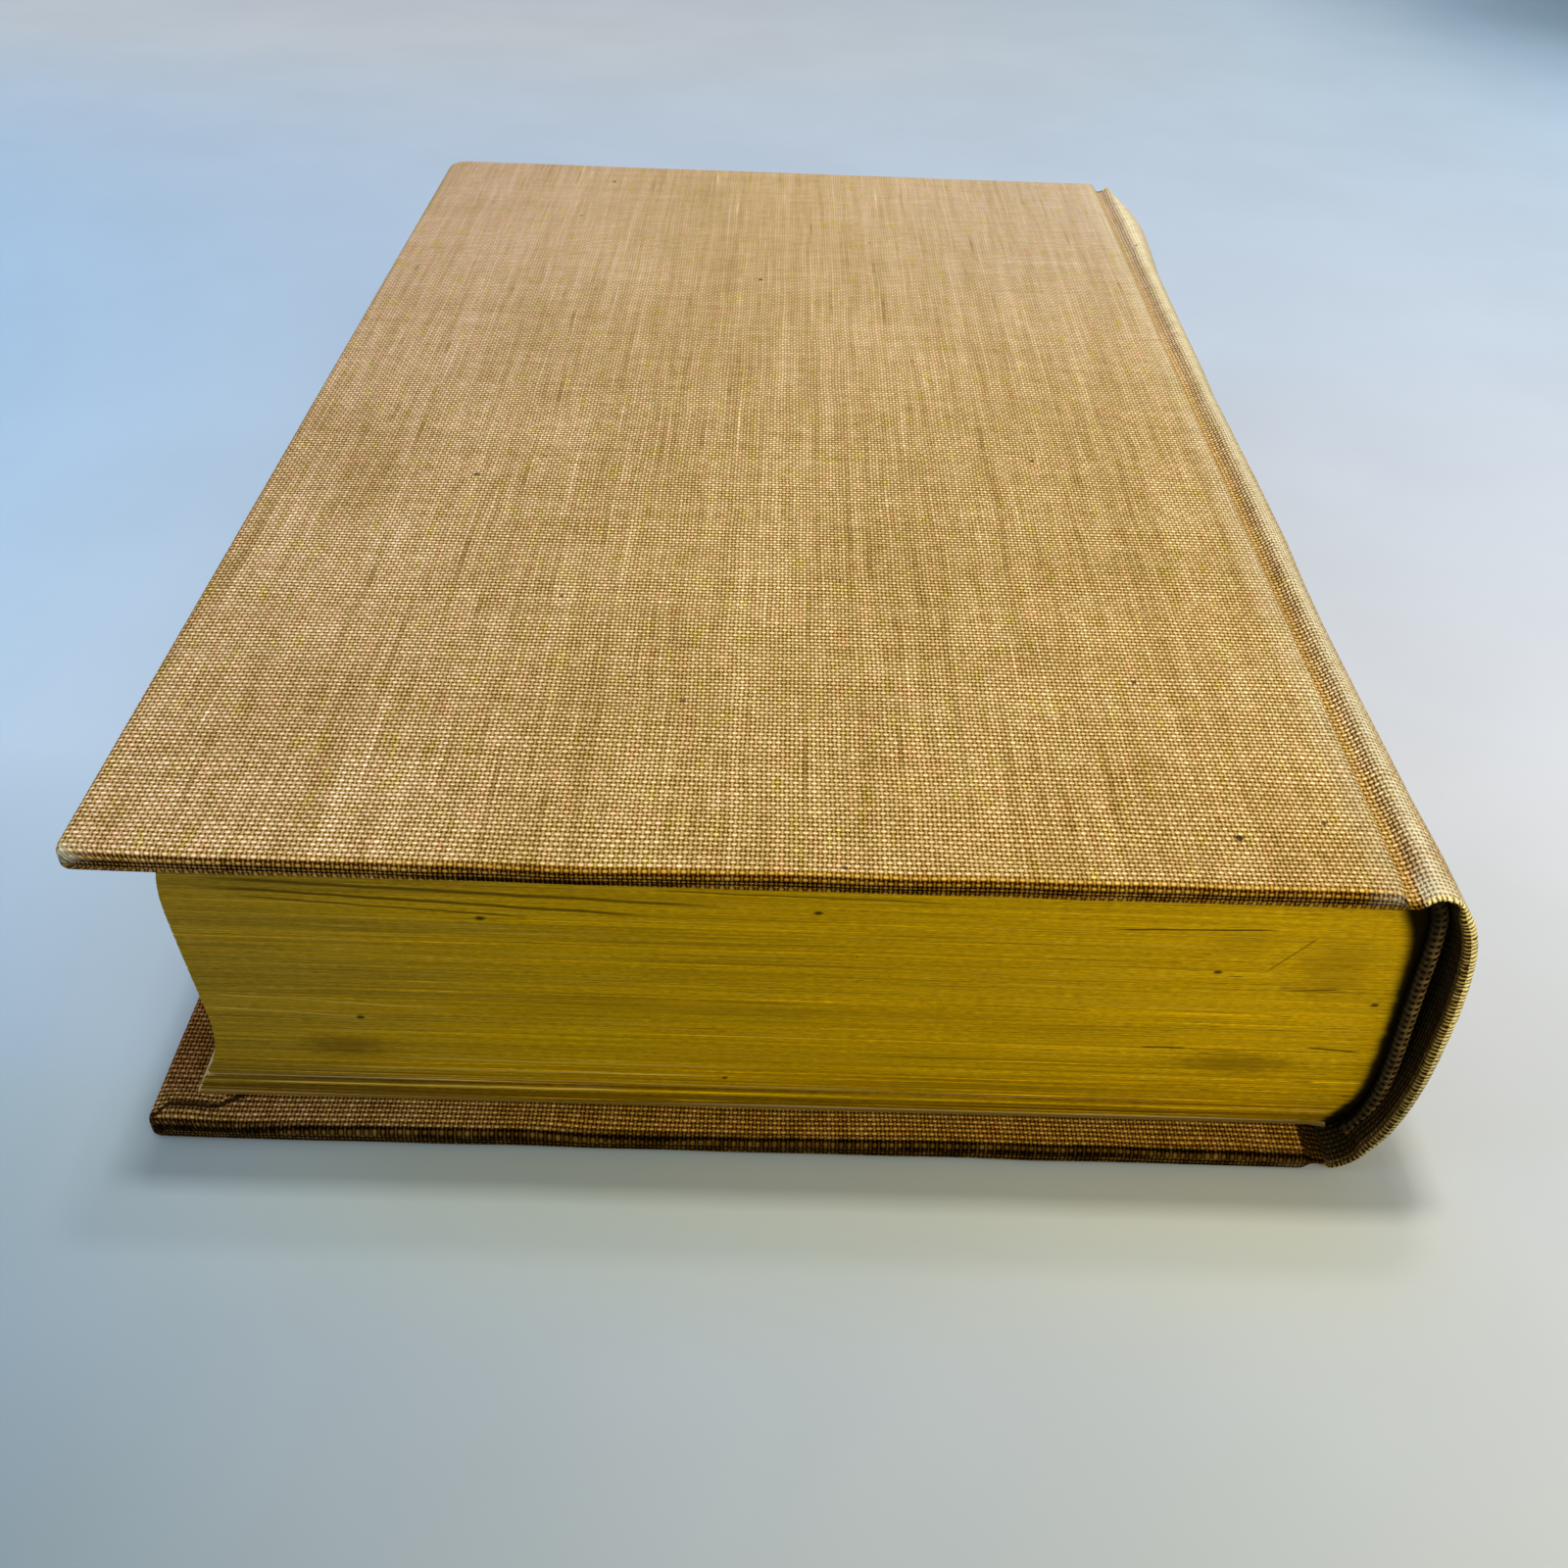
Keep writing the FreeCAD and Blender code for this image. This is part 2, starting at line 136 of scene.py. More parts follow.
class Nodes:
    """Short names for building one material."""

    def __init__(self, name, roughness, **constants):
        self.material = bpy.data.materials.new(name)
        self.material.use_nodes = True
        self.tree = self.material.node_tree
        self.tree.nodes.clear()
        self.shader = self.tree.nodes.new("ShaderNodeBsdfPrincipled")
        out = self.tree.nodes.new("ShaderNodeOutputMaterial")
        self.tree.links.new(self.shader.outputs[0], out.inputs[0])
        if roughness is not None:
            self.shader.inputs["Roughness"].default_value = roughness
        for key, number in constants.items():
            self.shader.inputs[key.replace("_", " ")].default_value = number

    def put(self, socket, value):
        if hasattr(value, "is_output"):
            self.tree.links.new(value, socket)
        else:
            socket.default_value = value

    def math(self, kind, a, b=None, c=None):
        node = self.tree.nodes.new("ShaderNodeMath")
        node.operation = kind
        for index, item in enumerate((a, b, c)):
            if item is not None:
                self.put(node.inputs[index], item)
        return node.outputs[0]

    def add(self, a, b):
        return self.math("ADD", a, b)

    def sub(self, a, b):
        return self.math("SUBTRACT", a, b)

    def mul(self, a, b):
        return self.math("MULTIPLY", a, b)

    def attribute(self, name):
        node = self.tree.nodes.new("ShaderNodeAttribute")
        node.attribute_name = name
        return node

    def mask(self, name):
        return self.attribute(name).outputs["Fac"]

    def rest(self):
        node = self.tree.nodes.new("ShaderNodeSeparateXYZ")
        self.tree.links.new(self.attribute("rest").outputs["Vector"], node.inputs[0])
        return node.outputs[0], node.outputs[1], node.outputs[2]

    def object_mm(self):
        coordinates = self.tree.nodes.new("ShaderNodeTexCoord")
        node = self.tree.nodes.new("ShaderNodeSeparateXYZ")
        self.tree.links.new(coordinates.outputs["Object"], node.inputs[0])
        return tuple(self.mul(node.outputs[k], 1000.0) for k in range(3))

    def uv(self, name):
        node = self.tree.nodes.new("ShaderNodeUVMap")
        node.uv_map = name
        split = self.tree.nodes.new("ShaderNodeSeparateXYZ")
        self.tree.links.new(node.outputs[0], split.inputs[0])
        return split.outputs[0], split.outputs[1]

    def vector(self, x, y, z=0.0):
        node = self.tree.nodes.new("ShaderNodeCombineXYZ")
        for index, item in enumerate((x, y, z)):
            self.put(node.inputs[index], item)
        return node.outputs[0]

    def noise(self, x, y, z=0.0, scale=1.0, detail=2.0, rough=0.5, distortion=0.0):
        node = self.tree.nodes.new("ShaderNodeTexNoise")
        node.noise_dimensions = "3D"
        self.tree.links.new(self.vector(x, y, z), node.inputs["Vector"])
        node.inputs["Scale"].default_value = scale
        node.inputs["Detail"].default_value = detail
        node.inputs["Roughness"].default_value = rough
        node.inputs["Distortion"].default_value = distortion
        return node.outputs[0]

    def ramp(self, x, low, high, out_low=0.0, out_high=1.0, kind="SMOOTHSTEP"):
        node = self.tree.nodes.new("ShaderNodeMapRange")
        node.interpolation_type = kind
        self.put(node.inputs["Value"], x)
        for key, number in (("From Min", low), ("From Max", high),
                            ("To Min", out_low), ("To Max", out_high)):
            self.put(node.inputs[key], number)
        return node.outputs[0]

    def mix(self, factor, a, b, blend="MIX"):
        node = self.tree.nodes.new("ShaderNodeMix")
        node.data_type = "RGBA"
        node.blend_type = blend
        node.clamp_factor = True
        self.put(node.inputs[0], factor)
        self.put(node.inputs[6], a)
        self.put(node.inputs[7], b)
        return node.outputs[2]

    def tint(self, factor, color, rgb):
        """Color, multiplied by rgb where factor is 1."""
        return self.mix(factor, color, self.mix(1.0, color, (*rgb, 1.0), "MULTIPLY"))

    def scaled(self, color, factor):
        """Color times a number."""
        node = self.tree.nodes.new("ShaderNodeVectorMath")
        node.operation = "SCALE"
        self.put(node.inputs[0], color)
        self.put(node.inputs["Scale"], factor)
        return node.outputs[0]

    def color(self, value):
        self.put(self.shader.inputs["Base Color"], value)

    def bump(self, height, distance, strength=1.0, normal=None):
        node = self.tree.nodes.new("ShaderNodeBump")
        node.inputs["Strength"].default_value = strength
        node.inputs["Distance"].default_value = distance
        self.put(node.inputs["Height"], height)
        if normal is not None:
            self.put(node.inputs["Normal"], normal)
        self.put(self.shader.inputs["Normal"], node.outputs[0])
        return node.outputs[0]

    def spot(self, x, z, place, size, grain):
        """Soft elliptical mask, broken up by grain."""
        dx = self.mul(self.sub(x, place[0]), 1.0 / size[0])
        dz = self.mul(self.sub(z, place[1]), 1.0 / size[1])
        r = self.math("SQRT", self.add(self.mul(dx, dx), self.mul(dz, dz)))
        return self.ramp(self.add(r, self.mul(self.sub(grain, 0.5), 1.6)), 0.25, 1.05, 1.0, 0.0)

    def stroke(self, x, z, start, end, width, wobble):
        """Thin line between two places, fading at its ends."""
        slope = (end[1] - start[1]) / (end[0] - start[0])
        level = self.add(self.mul(self.sub(x, start[0]), slope), start[1])
        off = self.math("ABSOLUTE", self.add(self.sub(z, level), self.mul(self.sub(wobble, 0.5), 0.5)))
        line = self.ramp(off, width * 0.35, width, 1.0, 0.0)
        fade = 0.15 * abs(end[0] - start[0])
        inside = self.mul(self.ramp(x, start[0], start[0] + fade), self.ramp(x, end[0] - fade, end[0], 1.0, 0.0))
        return self.mul(line, inside)


PITCH_U, PITCH_V = 0.506, 0.725


def weave(n, u, v):
    """Plain weave: threads along v at PITCH_U and along u at PITCH_V.
    Gives height, which thread is on top, and each thread's own tone."""
    wander = n.noise(n.mul(u, 0.10), n.mul(v, 0.05), 3.1, 1.0, 2.0, 0.5)
    sway = n.noise(n.mul(u, 0.03), n.mul(v, 0.12), 7.7, 1.0, 2.0, 0.5)
    uu = n.mul(n.add(u, n.mul(n.sub(wander, 0.5), 0.9)), 1.0 / PITCH_U)
    vv = n.mul(n.add(v, n.mul(n.sub(sway, 0.5), 1.6)), 1.0 / PITCH_V)
    su, sv = n.math("SINE", n.mul(uu, math.pi)), n.math("SINE", n.mul(vv, math.pi))
    product = n.mul(su, sv)
    au, av = n.math("ABSOLUTE", su), n.math("ABSOLUTE", sv)
    thread_u = n.mul(n.math("FLOOR", uu), 5.37)
    thread_v = n.mul(n.math("FLOOR", vv), 5.37)
    tone_u = n.noise(thread_u, n.mul(v, 0.035), 1.3, 1.0, 3.0, 0.6)
    tone_v = n.noise(n.mul(u, 0.05), thread_v, 8.9, 1.0, 3.0, 0.6)
    fat_u = n.noise(thread_u, n.mul(v, 0.45), 4.4, 1.0, 1.0, 0.5)
    fat_v = n.noise(n.mul(u, 0.55), thread_v, 6.2, 1.0, 1.0, 0.5)
    across = n.add(n.add(n.mul(n.math("POWER", av, 1.7), 0.62), n.mul(product, 0.38)),
                   n.mul(n.sub(fat_v, 0.5), 0.55))
    along = n.add(n.sub(n.mul(n.math("POWER", au, 1.7), 0.56), n.mul(product, 0.38)),
                  n.mul(n.sub(fat_u, 0.5), 0.55))
    height = n.math("MAXIMUM", across, along)
    top = n.ramp(n.sub(across, along), -0.12, 0.12)
    return height, top, tone_u, tone_v


def bookcloth():
    n = Nodes("bookcloth", 0.92, Specular_IOR_Level=0.05, Specular_Tint=(1.0, 0.72, 0.35, 1.0))
    u, v = n.uv("cloth")
    x, y, z = n.rest()
    height, top, tone_u, tone_v = weave(n, u, v)
    low = n.mix(top, (0.34, 0.190, 0.026, 1.0), (0.44, 0.262, 0.050, 1.0))
    high = n.mix(top, (0.66, 0.440, 0.190, 1.0), (0.95, 0.720, 0.42, 1.0))
    color = n.mix(n.ramp(height, 0.10, 0.42), (0.075, 0.031, 0.0, 1.0), low)
    color = n.mix(n.ramp(height, 0.36, 0.90), color, high)
    # Flatter and more even towards the tail: a painted haze over the far end.
    painted_end_fade = n.ramp(y, -40.0, 95.0, 0.0, 0.74)
    color = n.mix(painted_end_fade, color, (0.445, 0.292, 0.112, 1.0))
    # Light and dark threads, and bands of them, run the length of the cloth.
    band = n.noise(n.mul(u, 0.42), n.mul(v, 0.012), 2.0, 1.0, 4.0, 0.65)
    bars = n.noise(n.mul(u, 0.010), n.mul(v, 0.30), 5.0, 1.0, 3.0, 0.6)
    blotch = n.noise(n.mul(x, 0.022), n.mul(y, 0.022), 1.0, 1.0, 4.0, 0.6, 0.3)
    tone = n.add(n.mul(n.sub(tone_u, 0.5), 0.85), n.mul(n.sub(tone_v, 0.5), 0.45))
    tone = n.add(tone, n.mul(n.sub(band, 0.5), 0.62))
    tone = n.add(tone, n.mul(n.sub(bars, 0.5), 0.22))
    tone = n.add(tone, n.mul(n.sub(blotch, 0.5), 0.50))
    # Dark threads are browner, pale ones whiter; towards the tail the tones even out and turn paler and bluer, a
    # painted haze.
    tail = n.ramp(y, -60.0, 118.0)
    tone = n.mul(tone, n.ramp(tail, 0.0, 1.0, 1.0, 0.62, "LINEAR"))
    level = n.add(tone, 1.0)
    color = n.mix(1.0, color, n.vector(level, n.math("POWER", level, 1.2), n.math("POWER", level, 1.9)), "MULTIPLY")
    color = n.tint(tail, color, (1.10, 1.15, 1.50))
    # Painted light: brighter towards the spine, and painted blue light over the left half and the far right of the
    # cloth.
    color = n.scaled(color, n.ramp(x, 0.0, 145.0, 0.93, 1.16, "LINEAR"))
    color = n.tint(n.mul(n.ramp(x, 70.0, 135.0), n.ramp(y, -10.0, 100.0)), color, (1.0, 1.07, 1.36))
    color = n.tint(n.ramp(x, 0.0, 75.0, 1.0, 0.0), color, (1.0, 1.0, 1.22))
    # A few thick pale threads and thin dark ones.
    color = n.tint(n.ramp(tone_u, 0.68, 0.80, 0.0, 0.9), color, (1.28, 1.32, 1.42))
    color = n.tint(n.ramp(tone_u, 0.24, 0.34, 0.7, 0.0), color, (0.72, 0.66, 0.55))
    # Olive and pinkish runs of threads.
    hue = n.noise(n.mul(u, 0.55), n.mul(v, 0.16), 12.0, 1.0, 3.0, 0.6)
    color = n.tint(n.ramp(hue, 0.54, 0.70), color, (0.94, 0.98, 0.60))
    color = n.tint(n.ramp(hue, 0.46, 0.30), color, (1.06, 0.94, 0.95))
    # Warmer towards the spine and the head, greyer towards the fore-edge.
    warm = n.noise(n.mul(x, 0.03), n.mul(y, 0.03), 9.0, 1.0, 3.0, 0.55)
    golden = n.mul(n.ramp(x, 20.0, 120.0), n.ramp(y, -118.0, 20.0, 1.0, 0.25))
    color = n.tint(n.mul(golden, n.ramp(warm, 0.3, 0.65, 0.6, 1.0)), color, (1.02, 0.97, 0.84))
    # Soil along the edges of the boards, darkest on the edge itself; on the inner skin the same darkening is painted
    # shade.
    ragged = n.noise(n.mul(u, 0.35), n.mul(v, 0.35), 4.0, 1.0, 3.0, 0.6)
    # Golden tint along the head's edges, the joint's groove and the spine's head; on the inner skin it is a painted
    # reflection of the gilt edge.
    golden_tint = n.mask("gold")
    color = n.tint(n.mul(golden_tint, n.ramp(ragged, 0.25, 0.6, 0.6, 1.0)), color, (0.98, 0.86, 0.34))
    soil = n.mul(n.mask("soil"), n.ramp(ragged, 0.2, 0.7, 0.8, 1.1))
    deep = n.ramp(height, 0.25, 0.90)
    grime_and_shade = n.mix(1.0, color, n.mix(deep, (0.16, 0.10, 0.015, 1.0), (0.70, 0.57, 0.25, 1.0)), "MULTIPLY")
    color = n.mix(soil, color, grime_and_shade)
    # The lower part of each board's head and tail edge is nearly black with dirt.
    under = n.ramp(z, 44.95, 46.0, 1.0, 0.0)
    low_edge = n.mul(n.ramp(z, 10.0, 12.0, 1.0, under), n.mask("face"))
    low_edge = n.mul(low_edge, n.ramp(ragged, 0.30, 0.62, 0.75, 1.0))
    black = n.mix(1.0, color, n.mix(deep, (0.08, 0.06, 0.04, 1.0), (0.50, 0.47, 0.34, 1.0)), "MULTIPLY")
    color = n.mix(low_edge, color, black)
    color = n.tint(n.mul(low_edge, n.ramp(z, 10.0, 12.0, 1.0, 0.0)), color, (0.27, 0.27, 0.27))
    # Brown shadow in the gaps of the joint's slope.
    color = n.mix(n.mul(n.mask("slope"), n.ramp(height, 0.40, 0.78, 0.85, 0.0)), color, n.mix(1.0, color, (0.28, 0.19, 0.10, 1.0), "MULTIPLY"))
    color = n.tint(n.mask("red"), color, (0.62, 0.44, 0.40))
    # The folded corners: a dark line where the two turn-ins meet.
    end = n.sub(HALF_H, n.math("ABSOLUTE", y))
    fold = n.add(n.ramp(x, 0.6, 2.4, 1.5, 3.1), n.ramp(x, 7.5, 11.0, 0.0, 1.7))
    gap = n.math("ABSOLUTE", n.add(n.sub(end, fold), n.mul(n.sub(ragged, 0.5), 0.5)))
    seam = n.mul(n.ramp(gap, 0.22, 0.75, 1.0, 0.0), n.mul(n.ramp(x, 10.6, 11.4, 1.0, 0.0), n.mask("inner")))
    color = n.mix(n.mul(seam, 0.93), color, (0.012, 0.006, 0.001, 1.0))
    # Painted shade, with grime, in the hollow of the spine and the joint: colour scaled nearly to black.
    dark = n.mask("dark")
    color = n.mix(dark, color, n.scaled(color, 0.03))
    # Rubbed, paler places, and painted highlights on the board's lip and the spine's lit side.
    rub_and_highlight = n.mul(n.mask("rub_and_highlight"), n.ramp(height, 0.20, 0.62, 0.25, 1.0))
    color = n.mix(n.mul(rub_and_highlight, n.ramp(ragged, 0.30, 0.55, 0.60, 1.0)), color, (0.98, 0.86, 0.54, 1.0))
    # The cap's rim: threads lie side by side across it, pale with dark gaps.
    shake = n.noise(n.mul(u, 0.9), n.mul(v, 0.4), 5.5, 1.0, 2.0, 0.5)
    lane = n.math("ABSOLUTE", n.math("SINE", n.mul(n.add(u, n.mul(n.sub(shake, 0.5), 0.9)), math.pi / 0.58)))
    lane = n.add(lane, n.mul(n.sub(n.noise(n.mul(u, 2.2), n.mul(v, 1.3), 1.0, 1.0, 2.0, 0.5), 0.5), 1.1))
    # Inner side of the rim: the threads' ends fray into the dark.
    depth = n.mul(n.sub(n.math("ABSOLUTE", v), HALF_H + 0.57), 1.0 / 1.2)
    lane = n.sub(lane, n.ramp(n.add(depth, n.mul(n.sub(shake, 0.5), 0.5)), 0.60, 1.20, 0.0, 0.60, "LINEAR"))
    rim = n.mix(n.ramp(lane, 0.10, 0.45), (0.030, 0.015, 0.002, 1.0), (0.58, 0.40, 0.085, 1.0))
    rim = n.mix(n.ramp(lane, 0.45, 0.95), rim, (1.0, 0.88, 0.44, 1.0))
    # Painted light and shade on the rim: brighter towards the top, darker and greyer near the floor.
    rim = n.mix(1.0, rim, n.mix(n.ramp(z, 7.0, 34.0), (0.50, 0.48, 0.42, 1.0), (1.24, 1.16, 1.0, 1.0)), "MULTIPLY")
    color = n.mix(n.mask("rim"), color, rim)
    fray = n.mul(n.mask("fray"), n.ramp(n.noise(n.mul(u, 1.1), n.mul(v, 1.1), 2.0, 1.0, 3.0, 0.6), 0.38, 0.58))
    color = n.mix(fray, color, (0.46, 0.47, 0.33, 1.0))
    # Small dark specks.
    speck = n.noise(x, y, z, 0.42, 1.0, 0.4)
    color = n.mix(n.ramp(speck, 0.81, 0.84, 0.0, 0.8), color, (0.05, 0.02, 0.008, 1.0))
    for px, py, size in ((125.2, -109.2, 0.55), (37.1, 106.3, 0.45), (70.0, 51.2, 0.5)):
        dx, dy = n.sub(x, px), n.sub(y, py)
        r = n.math("SQRT", n.add(n.mul(dx, dx), n.mul(dy, dy)))
        mark = n.mul(n.ramp(r, size * 0.6, size, 0.92, 0.0), n.ramp(z, 40.0, 42.0))
        color = n.mix(mark, color, (0.03, 0.012, 0.006, 1.0))
    n.color(color)
    lift = n.add(n.mul(height, n.sub(1.0, n.mask("rim"))), n.mul(lane, n.mask("rim")))
    lift = n.mul(lift, n.sub(1.0, n.mul(painted_end_fade, 0.9)))
    n.bump(n.add(lift, n.mul(tone, 0.25)), 0.00019, 1.0)
    return n.material


def page_edges():
    """Gilt head, plain fore-edge and tail."""
    n = Nodes("page_edges", None, Specular_IOR_Level=0.25, Specular_Tint=(1.0, 0.80, 0.05, 1.0))
    x, y, z = n.rest()
    lines = n.noise(n.mul(x, 0.02), n.mul(y, 0.02), n.mul(z, 4.0), 1.0, 4.0, 0.7)
    fine = n.noise(n.mul(x, 0.06), n.mul(y, 0.06), n.mul(z, 13.0), 1.0, 2.0, 0.6)
    wide = n.noise(n.mul(x, 0.008), n.mul(y, 0.008), n.mul(z, 0.35), 1.0, 3.0, 0.6)
    mottle = n.noise(n.mul(x, 0.9), 0.0, n.mul(z, 1.6), 1.0, 4.0, 0.6)
    dull, bright = (0.315, 0.190, 0.012, 1.0), (0.50, 0.285, 0.0, 1.0)
    # Painted reflection of the light from the right: the gilt duller at the left, brighter towards the spine.
    gold = n.mix(n.ramp(n.add(x, n.mul(n.sub(wide, 0.5), 60.0)), 4.0, 62.0), dull, bright)
    gold = n.scaled(gold, n.ramp(x, 60.0, 130.0, 1.0, 1.30, "LINEAR"))
    gold = n.scaled(gold, n.ramp(lines, 0.28, 0.72, 0.76, 1.14, "LINEAR"))
    gold = n.scaled(gold, n.ramp(mottle, 0.25, 0.75, 0.88, 1.10, "LINEAR"))
    gold = n.scaled(gold, n.ramp(wide, 0.36, 0.60, 0.90, 1.04))
    # Fine grain of the burnished leaves' edges.
    dust = n.noise(n.mul(x, 0.9), 0.0, n.mul(z, 6.5), 1.0, 3.0, 0.6)
    gold = n.scaled(gold, n.ramp(dust, 0.30, 0.70, 0.72, 1.28, "LINEAR"))
    hair = n.noise(n.mul(x, 0.05), 0.0, n.mul(z, 11.0), 1.0, 2.0, 0.6)
    gold = n.scaled(gold, n.ramp(hair, 0.30, 0.70, 0.74, 1.24, "LINEAR"))
    gold = n.scaled(gold, n.ramp(x, 0.0, 60.0, 1.12, 1.03))
    strand = n.noise(n.mul(x, 0.022), 0.0, n.mul(z, 4.6), 1.0, 2.0, 0.5)
    gold = n.mix(n.ramp(strand, 0.42, 0.31, 0.0, 0.55), gold, (0.17, 0.100, 0.003, 1.0))
    gold = n.mix(n.ramp(strand, 0.60, 0.70, 0.0, 0.38), gold, (0.66, 0.43, 0.04, 1.0))
    # Pale lines, mostly near the fore-edge and in the loose leaves below.
    lower = n.ramp(z, 4.0, 13.0, 1.0, 0.0)
    pale = n.mul(n.ramp(fine, 0.62, 0.72), n.math("MAXIMUM", n.ramp(x, 30.0, 75.0, 0.65, 0.08), n.mul(lower, 0.8)))
    gold = n.mix(pale, gold, (0.62, 0.46, 0.10, 1.0))
    thin = n.noise(n.mul(x, 0.035), 0.0, n.mul(z, 7.0), 1.0, 2.0, 0.5)
    gold = n.mix(n.ramp(thin, 0.655, 0.70, 0.0, 0.75), gold, (0.09, 0.05, 0.0, 1.0))
    # Short dark scratches along the leaves, more of them near the spine.
    short = n.noise(n.mul(x, 0.16), 0.0, n.mul(z, 5.5), 1.0, 2.0, 0.5)
    many = n.ramp(x, 95.0, 135.0, 0.70, 0.64)
    gold = n.mix(n.ramp(short, many, n.add(many, 0.05), 0.0, 0.8), gold, (0.085, 0.045, 0.0, 1.0))
    # Darker, bluer leaves at the bottom, where they have worked loose, and grime in a few spots.
    gold = n.tint(n.mul(n.ramp(z, 3.2, 10.5, 1.0, 0.0), n.ramp(lines, 0.35, 0.62, 1.0, 0.35)), gold, (0.36, 0.34, 0.9))
    # Painted shadow of the front board over the top leaves.
    gold = n.tint(n.mul(n.ramp(z, 38.2, 42.6, 0.0, 0.75), n.ramp(lines, 0.40, 0.62, 1.0, 0.3)), gold, (0.42, 0.38, 0.4))
    grain = n.noise(n.mul(x, 0.5), 0.0, n.mul(z, 1.3), 1.0, 4.0, 0.65)
    for place, size, amount in (((24.5, 12.4), (7.0, 2.6), 0.62), ((131.0, 13.6), (9.5, 2.6), 0.60),
                                ((139.0, 30.0), (6.5, 7.0), 0.40), ((96.0, 8.2), (26.0, 1.8), 0.35),
                                ((62.0, 20.5), (48.0, 2.2), 0.30), ((128.0, 33.5), (6.0, 2.6), 0.25)):
        patch = n.mul(n.spot(x, z, place, size, grain), n.ramp(dust, 0.35, 0.62, 0.55, 1.0))
        gold = n.tint(n.mul(patch, amount), gold, (0.28, 0.24, 0.3))
    wobble = n.noise(n.mul(x, 0.12), 0.0, 0.0, 1.0, 2.0, 0.5)
    for start, end, width, amount in (((112.0, 35.1), (132.0, 35.7), 0.16, 0.9), ((119.0, 16.1), (125.0, 16.1), 0.2, 0.85),
                                      ((138.6, 16.7), (145.4, 16.3), 0.2, 0.85), ((134.0, 26.2), (140.5, 26.6), 0.16, 0.8),
                                      ((9.5, 38.9), (72.0, 36.6), 0.34, 0.75), ((9.5, 37.6), (64.0, 34.9), 0.30, 0.8), ((14.0, 36.3), (50.0, 34.2), 0.22, 0.7),
                                      ((131.0, 28.9), (136.2, 35.0), 0.30, 0.55), ((98.0, 22.4), (113.0, 22.0), 0.14, 0.5),
                                      ((60.0, 38.9), (97.0, 38.2), 0.16, 0.7)):
        gold = n.mix(n.mul(n.stroke(x, z, start, end, width, wobble), amount), gold, (0.06, 0.03, 0.0, 1.0))
    for start, end, width in (((9.0, 20.6), (38.0, 19.1), 0.16), ((9.0, 18.4), (30.0, 17.2), 0.14),
                              ((30.0, 10.4), (75.0, 10.3), 0.20), ((22.0, 8.5), (70.0, 8.6), 0.20),
                              ((26.0, 6.9), (95.0, 7.0), 0.22), ((10.0, 5.3), (60.0, 5.5), 0.22)):
        gold = n.mix(n.mul(n.stroke(x, z, start, end, width, wobble), 0.52), gold, (0.62, 0.44, 0.08, 1.0))
    speck = n.noise(x, 0.0, z, 0.55, 1.0, 0.4)
    gold = n.mix(n.ramp(speck, 0.79, 0.82, 0.0, 0.8), gold, (0.04, 0.02, 0.0, 1.0))
    for px, pz, size in ((42.5, 33.9, 0.45), (80.0, 36.2, 0.40), (27.0, 17.3, 0.40), (125.8, 28.9, 0.40), (145.0, 24.3, 0.40)):
        dx, dz = n.mul(n.sub(x, px), 0.55), n.sub(z, pz)
        r = n.math("SQRT", n.add(n.mul(dx, dx), n.mul(dz, dz)))
        gold = n.mix(n.ramp(r, size * 0.35, size, 0.9, 0.0), gold, (0.03, 0.012, 0.0, 1.0))
    shade = n.mask("shade")
    gold = n.mix(shade, gold, (0.004, 0.003, 0.001, 1.0))
    paper = n.mix(n.ramp(lines, 0.3, 0.7), (0.42, 0.32, 0.17, 1.0), (0.66, 0.54, 0.34, 1.0))
    paper = n.mix(n.ramp(wide, 0.45, 0.70, 0.0, 0.5), paper, (0.33, 0.22, 0.09, 1.0))
    head = n.ramp(y, -112.05, -112.25)
    n.color(n.mix(head, paper, gold))
    n.put(n.shader.inputs["Metallic"], n.mul(n.mul(head, 0.55), n.sub(1.0, shade)))
    n.put(n.shader.inputs["Specular IOR Level"], n.ramp(shade, 0.0, 0.8, 0.25, 0.0))
    rough = n.math("MAXIMUM", n.ramp(lines, 0.3, 0.7, 0.55, 0.42), shade)
    n.put(n.shader.inputs["Roughness"], n.add(n.mul(head, n.sub(rough, 0.85)), 0.85))
    n.bump(n.add(lines, n.mul(fine, 0.4)), 0.00004, 0.8)
    return n.material


def endpaper():
    n = Nodes("endpaper", 0.82, Specular_IOR_Level=0.3)
    x, y, z = n.rest()
    fibre = n.noise(n.mul(x, 2.5), n.mul(y, 1.0), z, 1.0, 4.0, 0.65)
    cloud = n.noise(n.mul(x, 0.02), n.mul(y, 0.02), z, 1.0, 3.0, 0.6)
    fox = n.noise(n.mul(x, 0.16), n.mul(y, 0.16), 3.0, 1.0, 3.0, 0.5)
    color = n.mix(n.ramp(cloud, 0.3, 0.7), srgb(214, 197, 158), srgb(232, 218, 184))
    color = n.mix(n.ramp(fibre, 0.4, 0.7, 0.0, 0.25), color, srgb(196, 176, 134))
    color = n.mix(n.ramp(fox, 0.70, 0.80, 0.0, 0.5), color, srgb(168, 124, 72))
    color = n.mix(n.mask("soil"), color, srgb(170, 136, 84))
    color = n.mix(n.ramp(y, -112.3, -112.44), color, (0.20, 0.118, 0.006, 1.0))
    n.color(color)
    n.bump(fibre, 0.00003, 0.6)
    return n.material


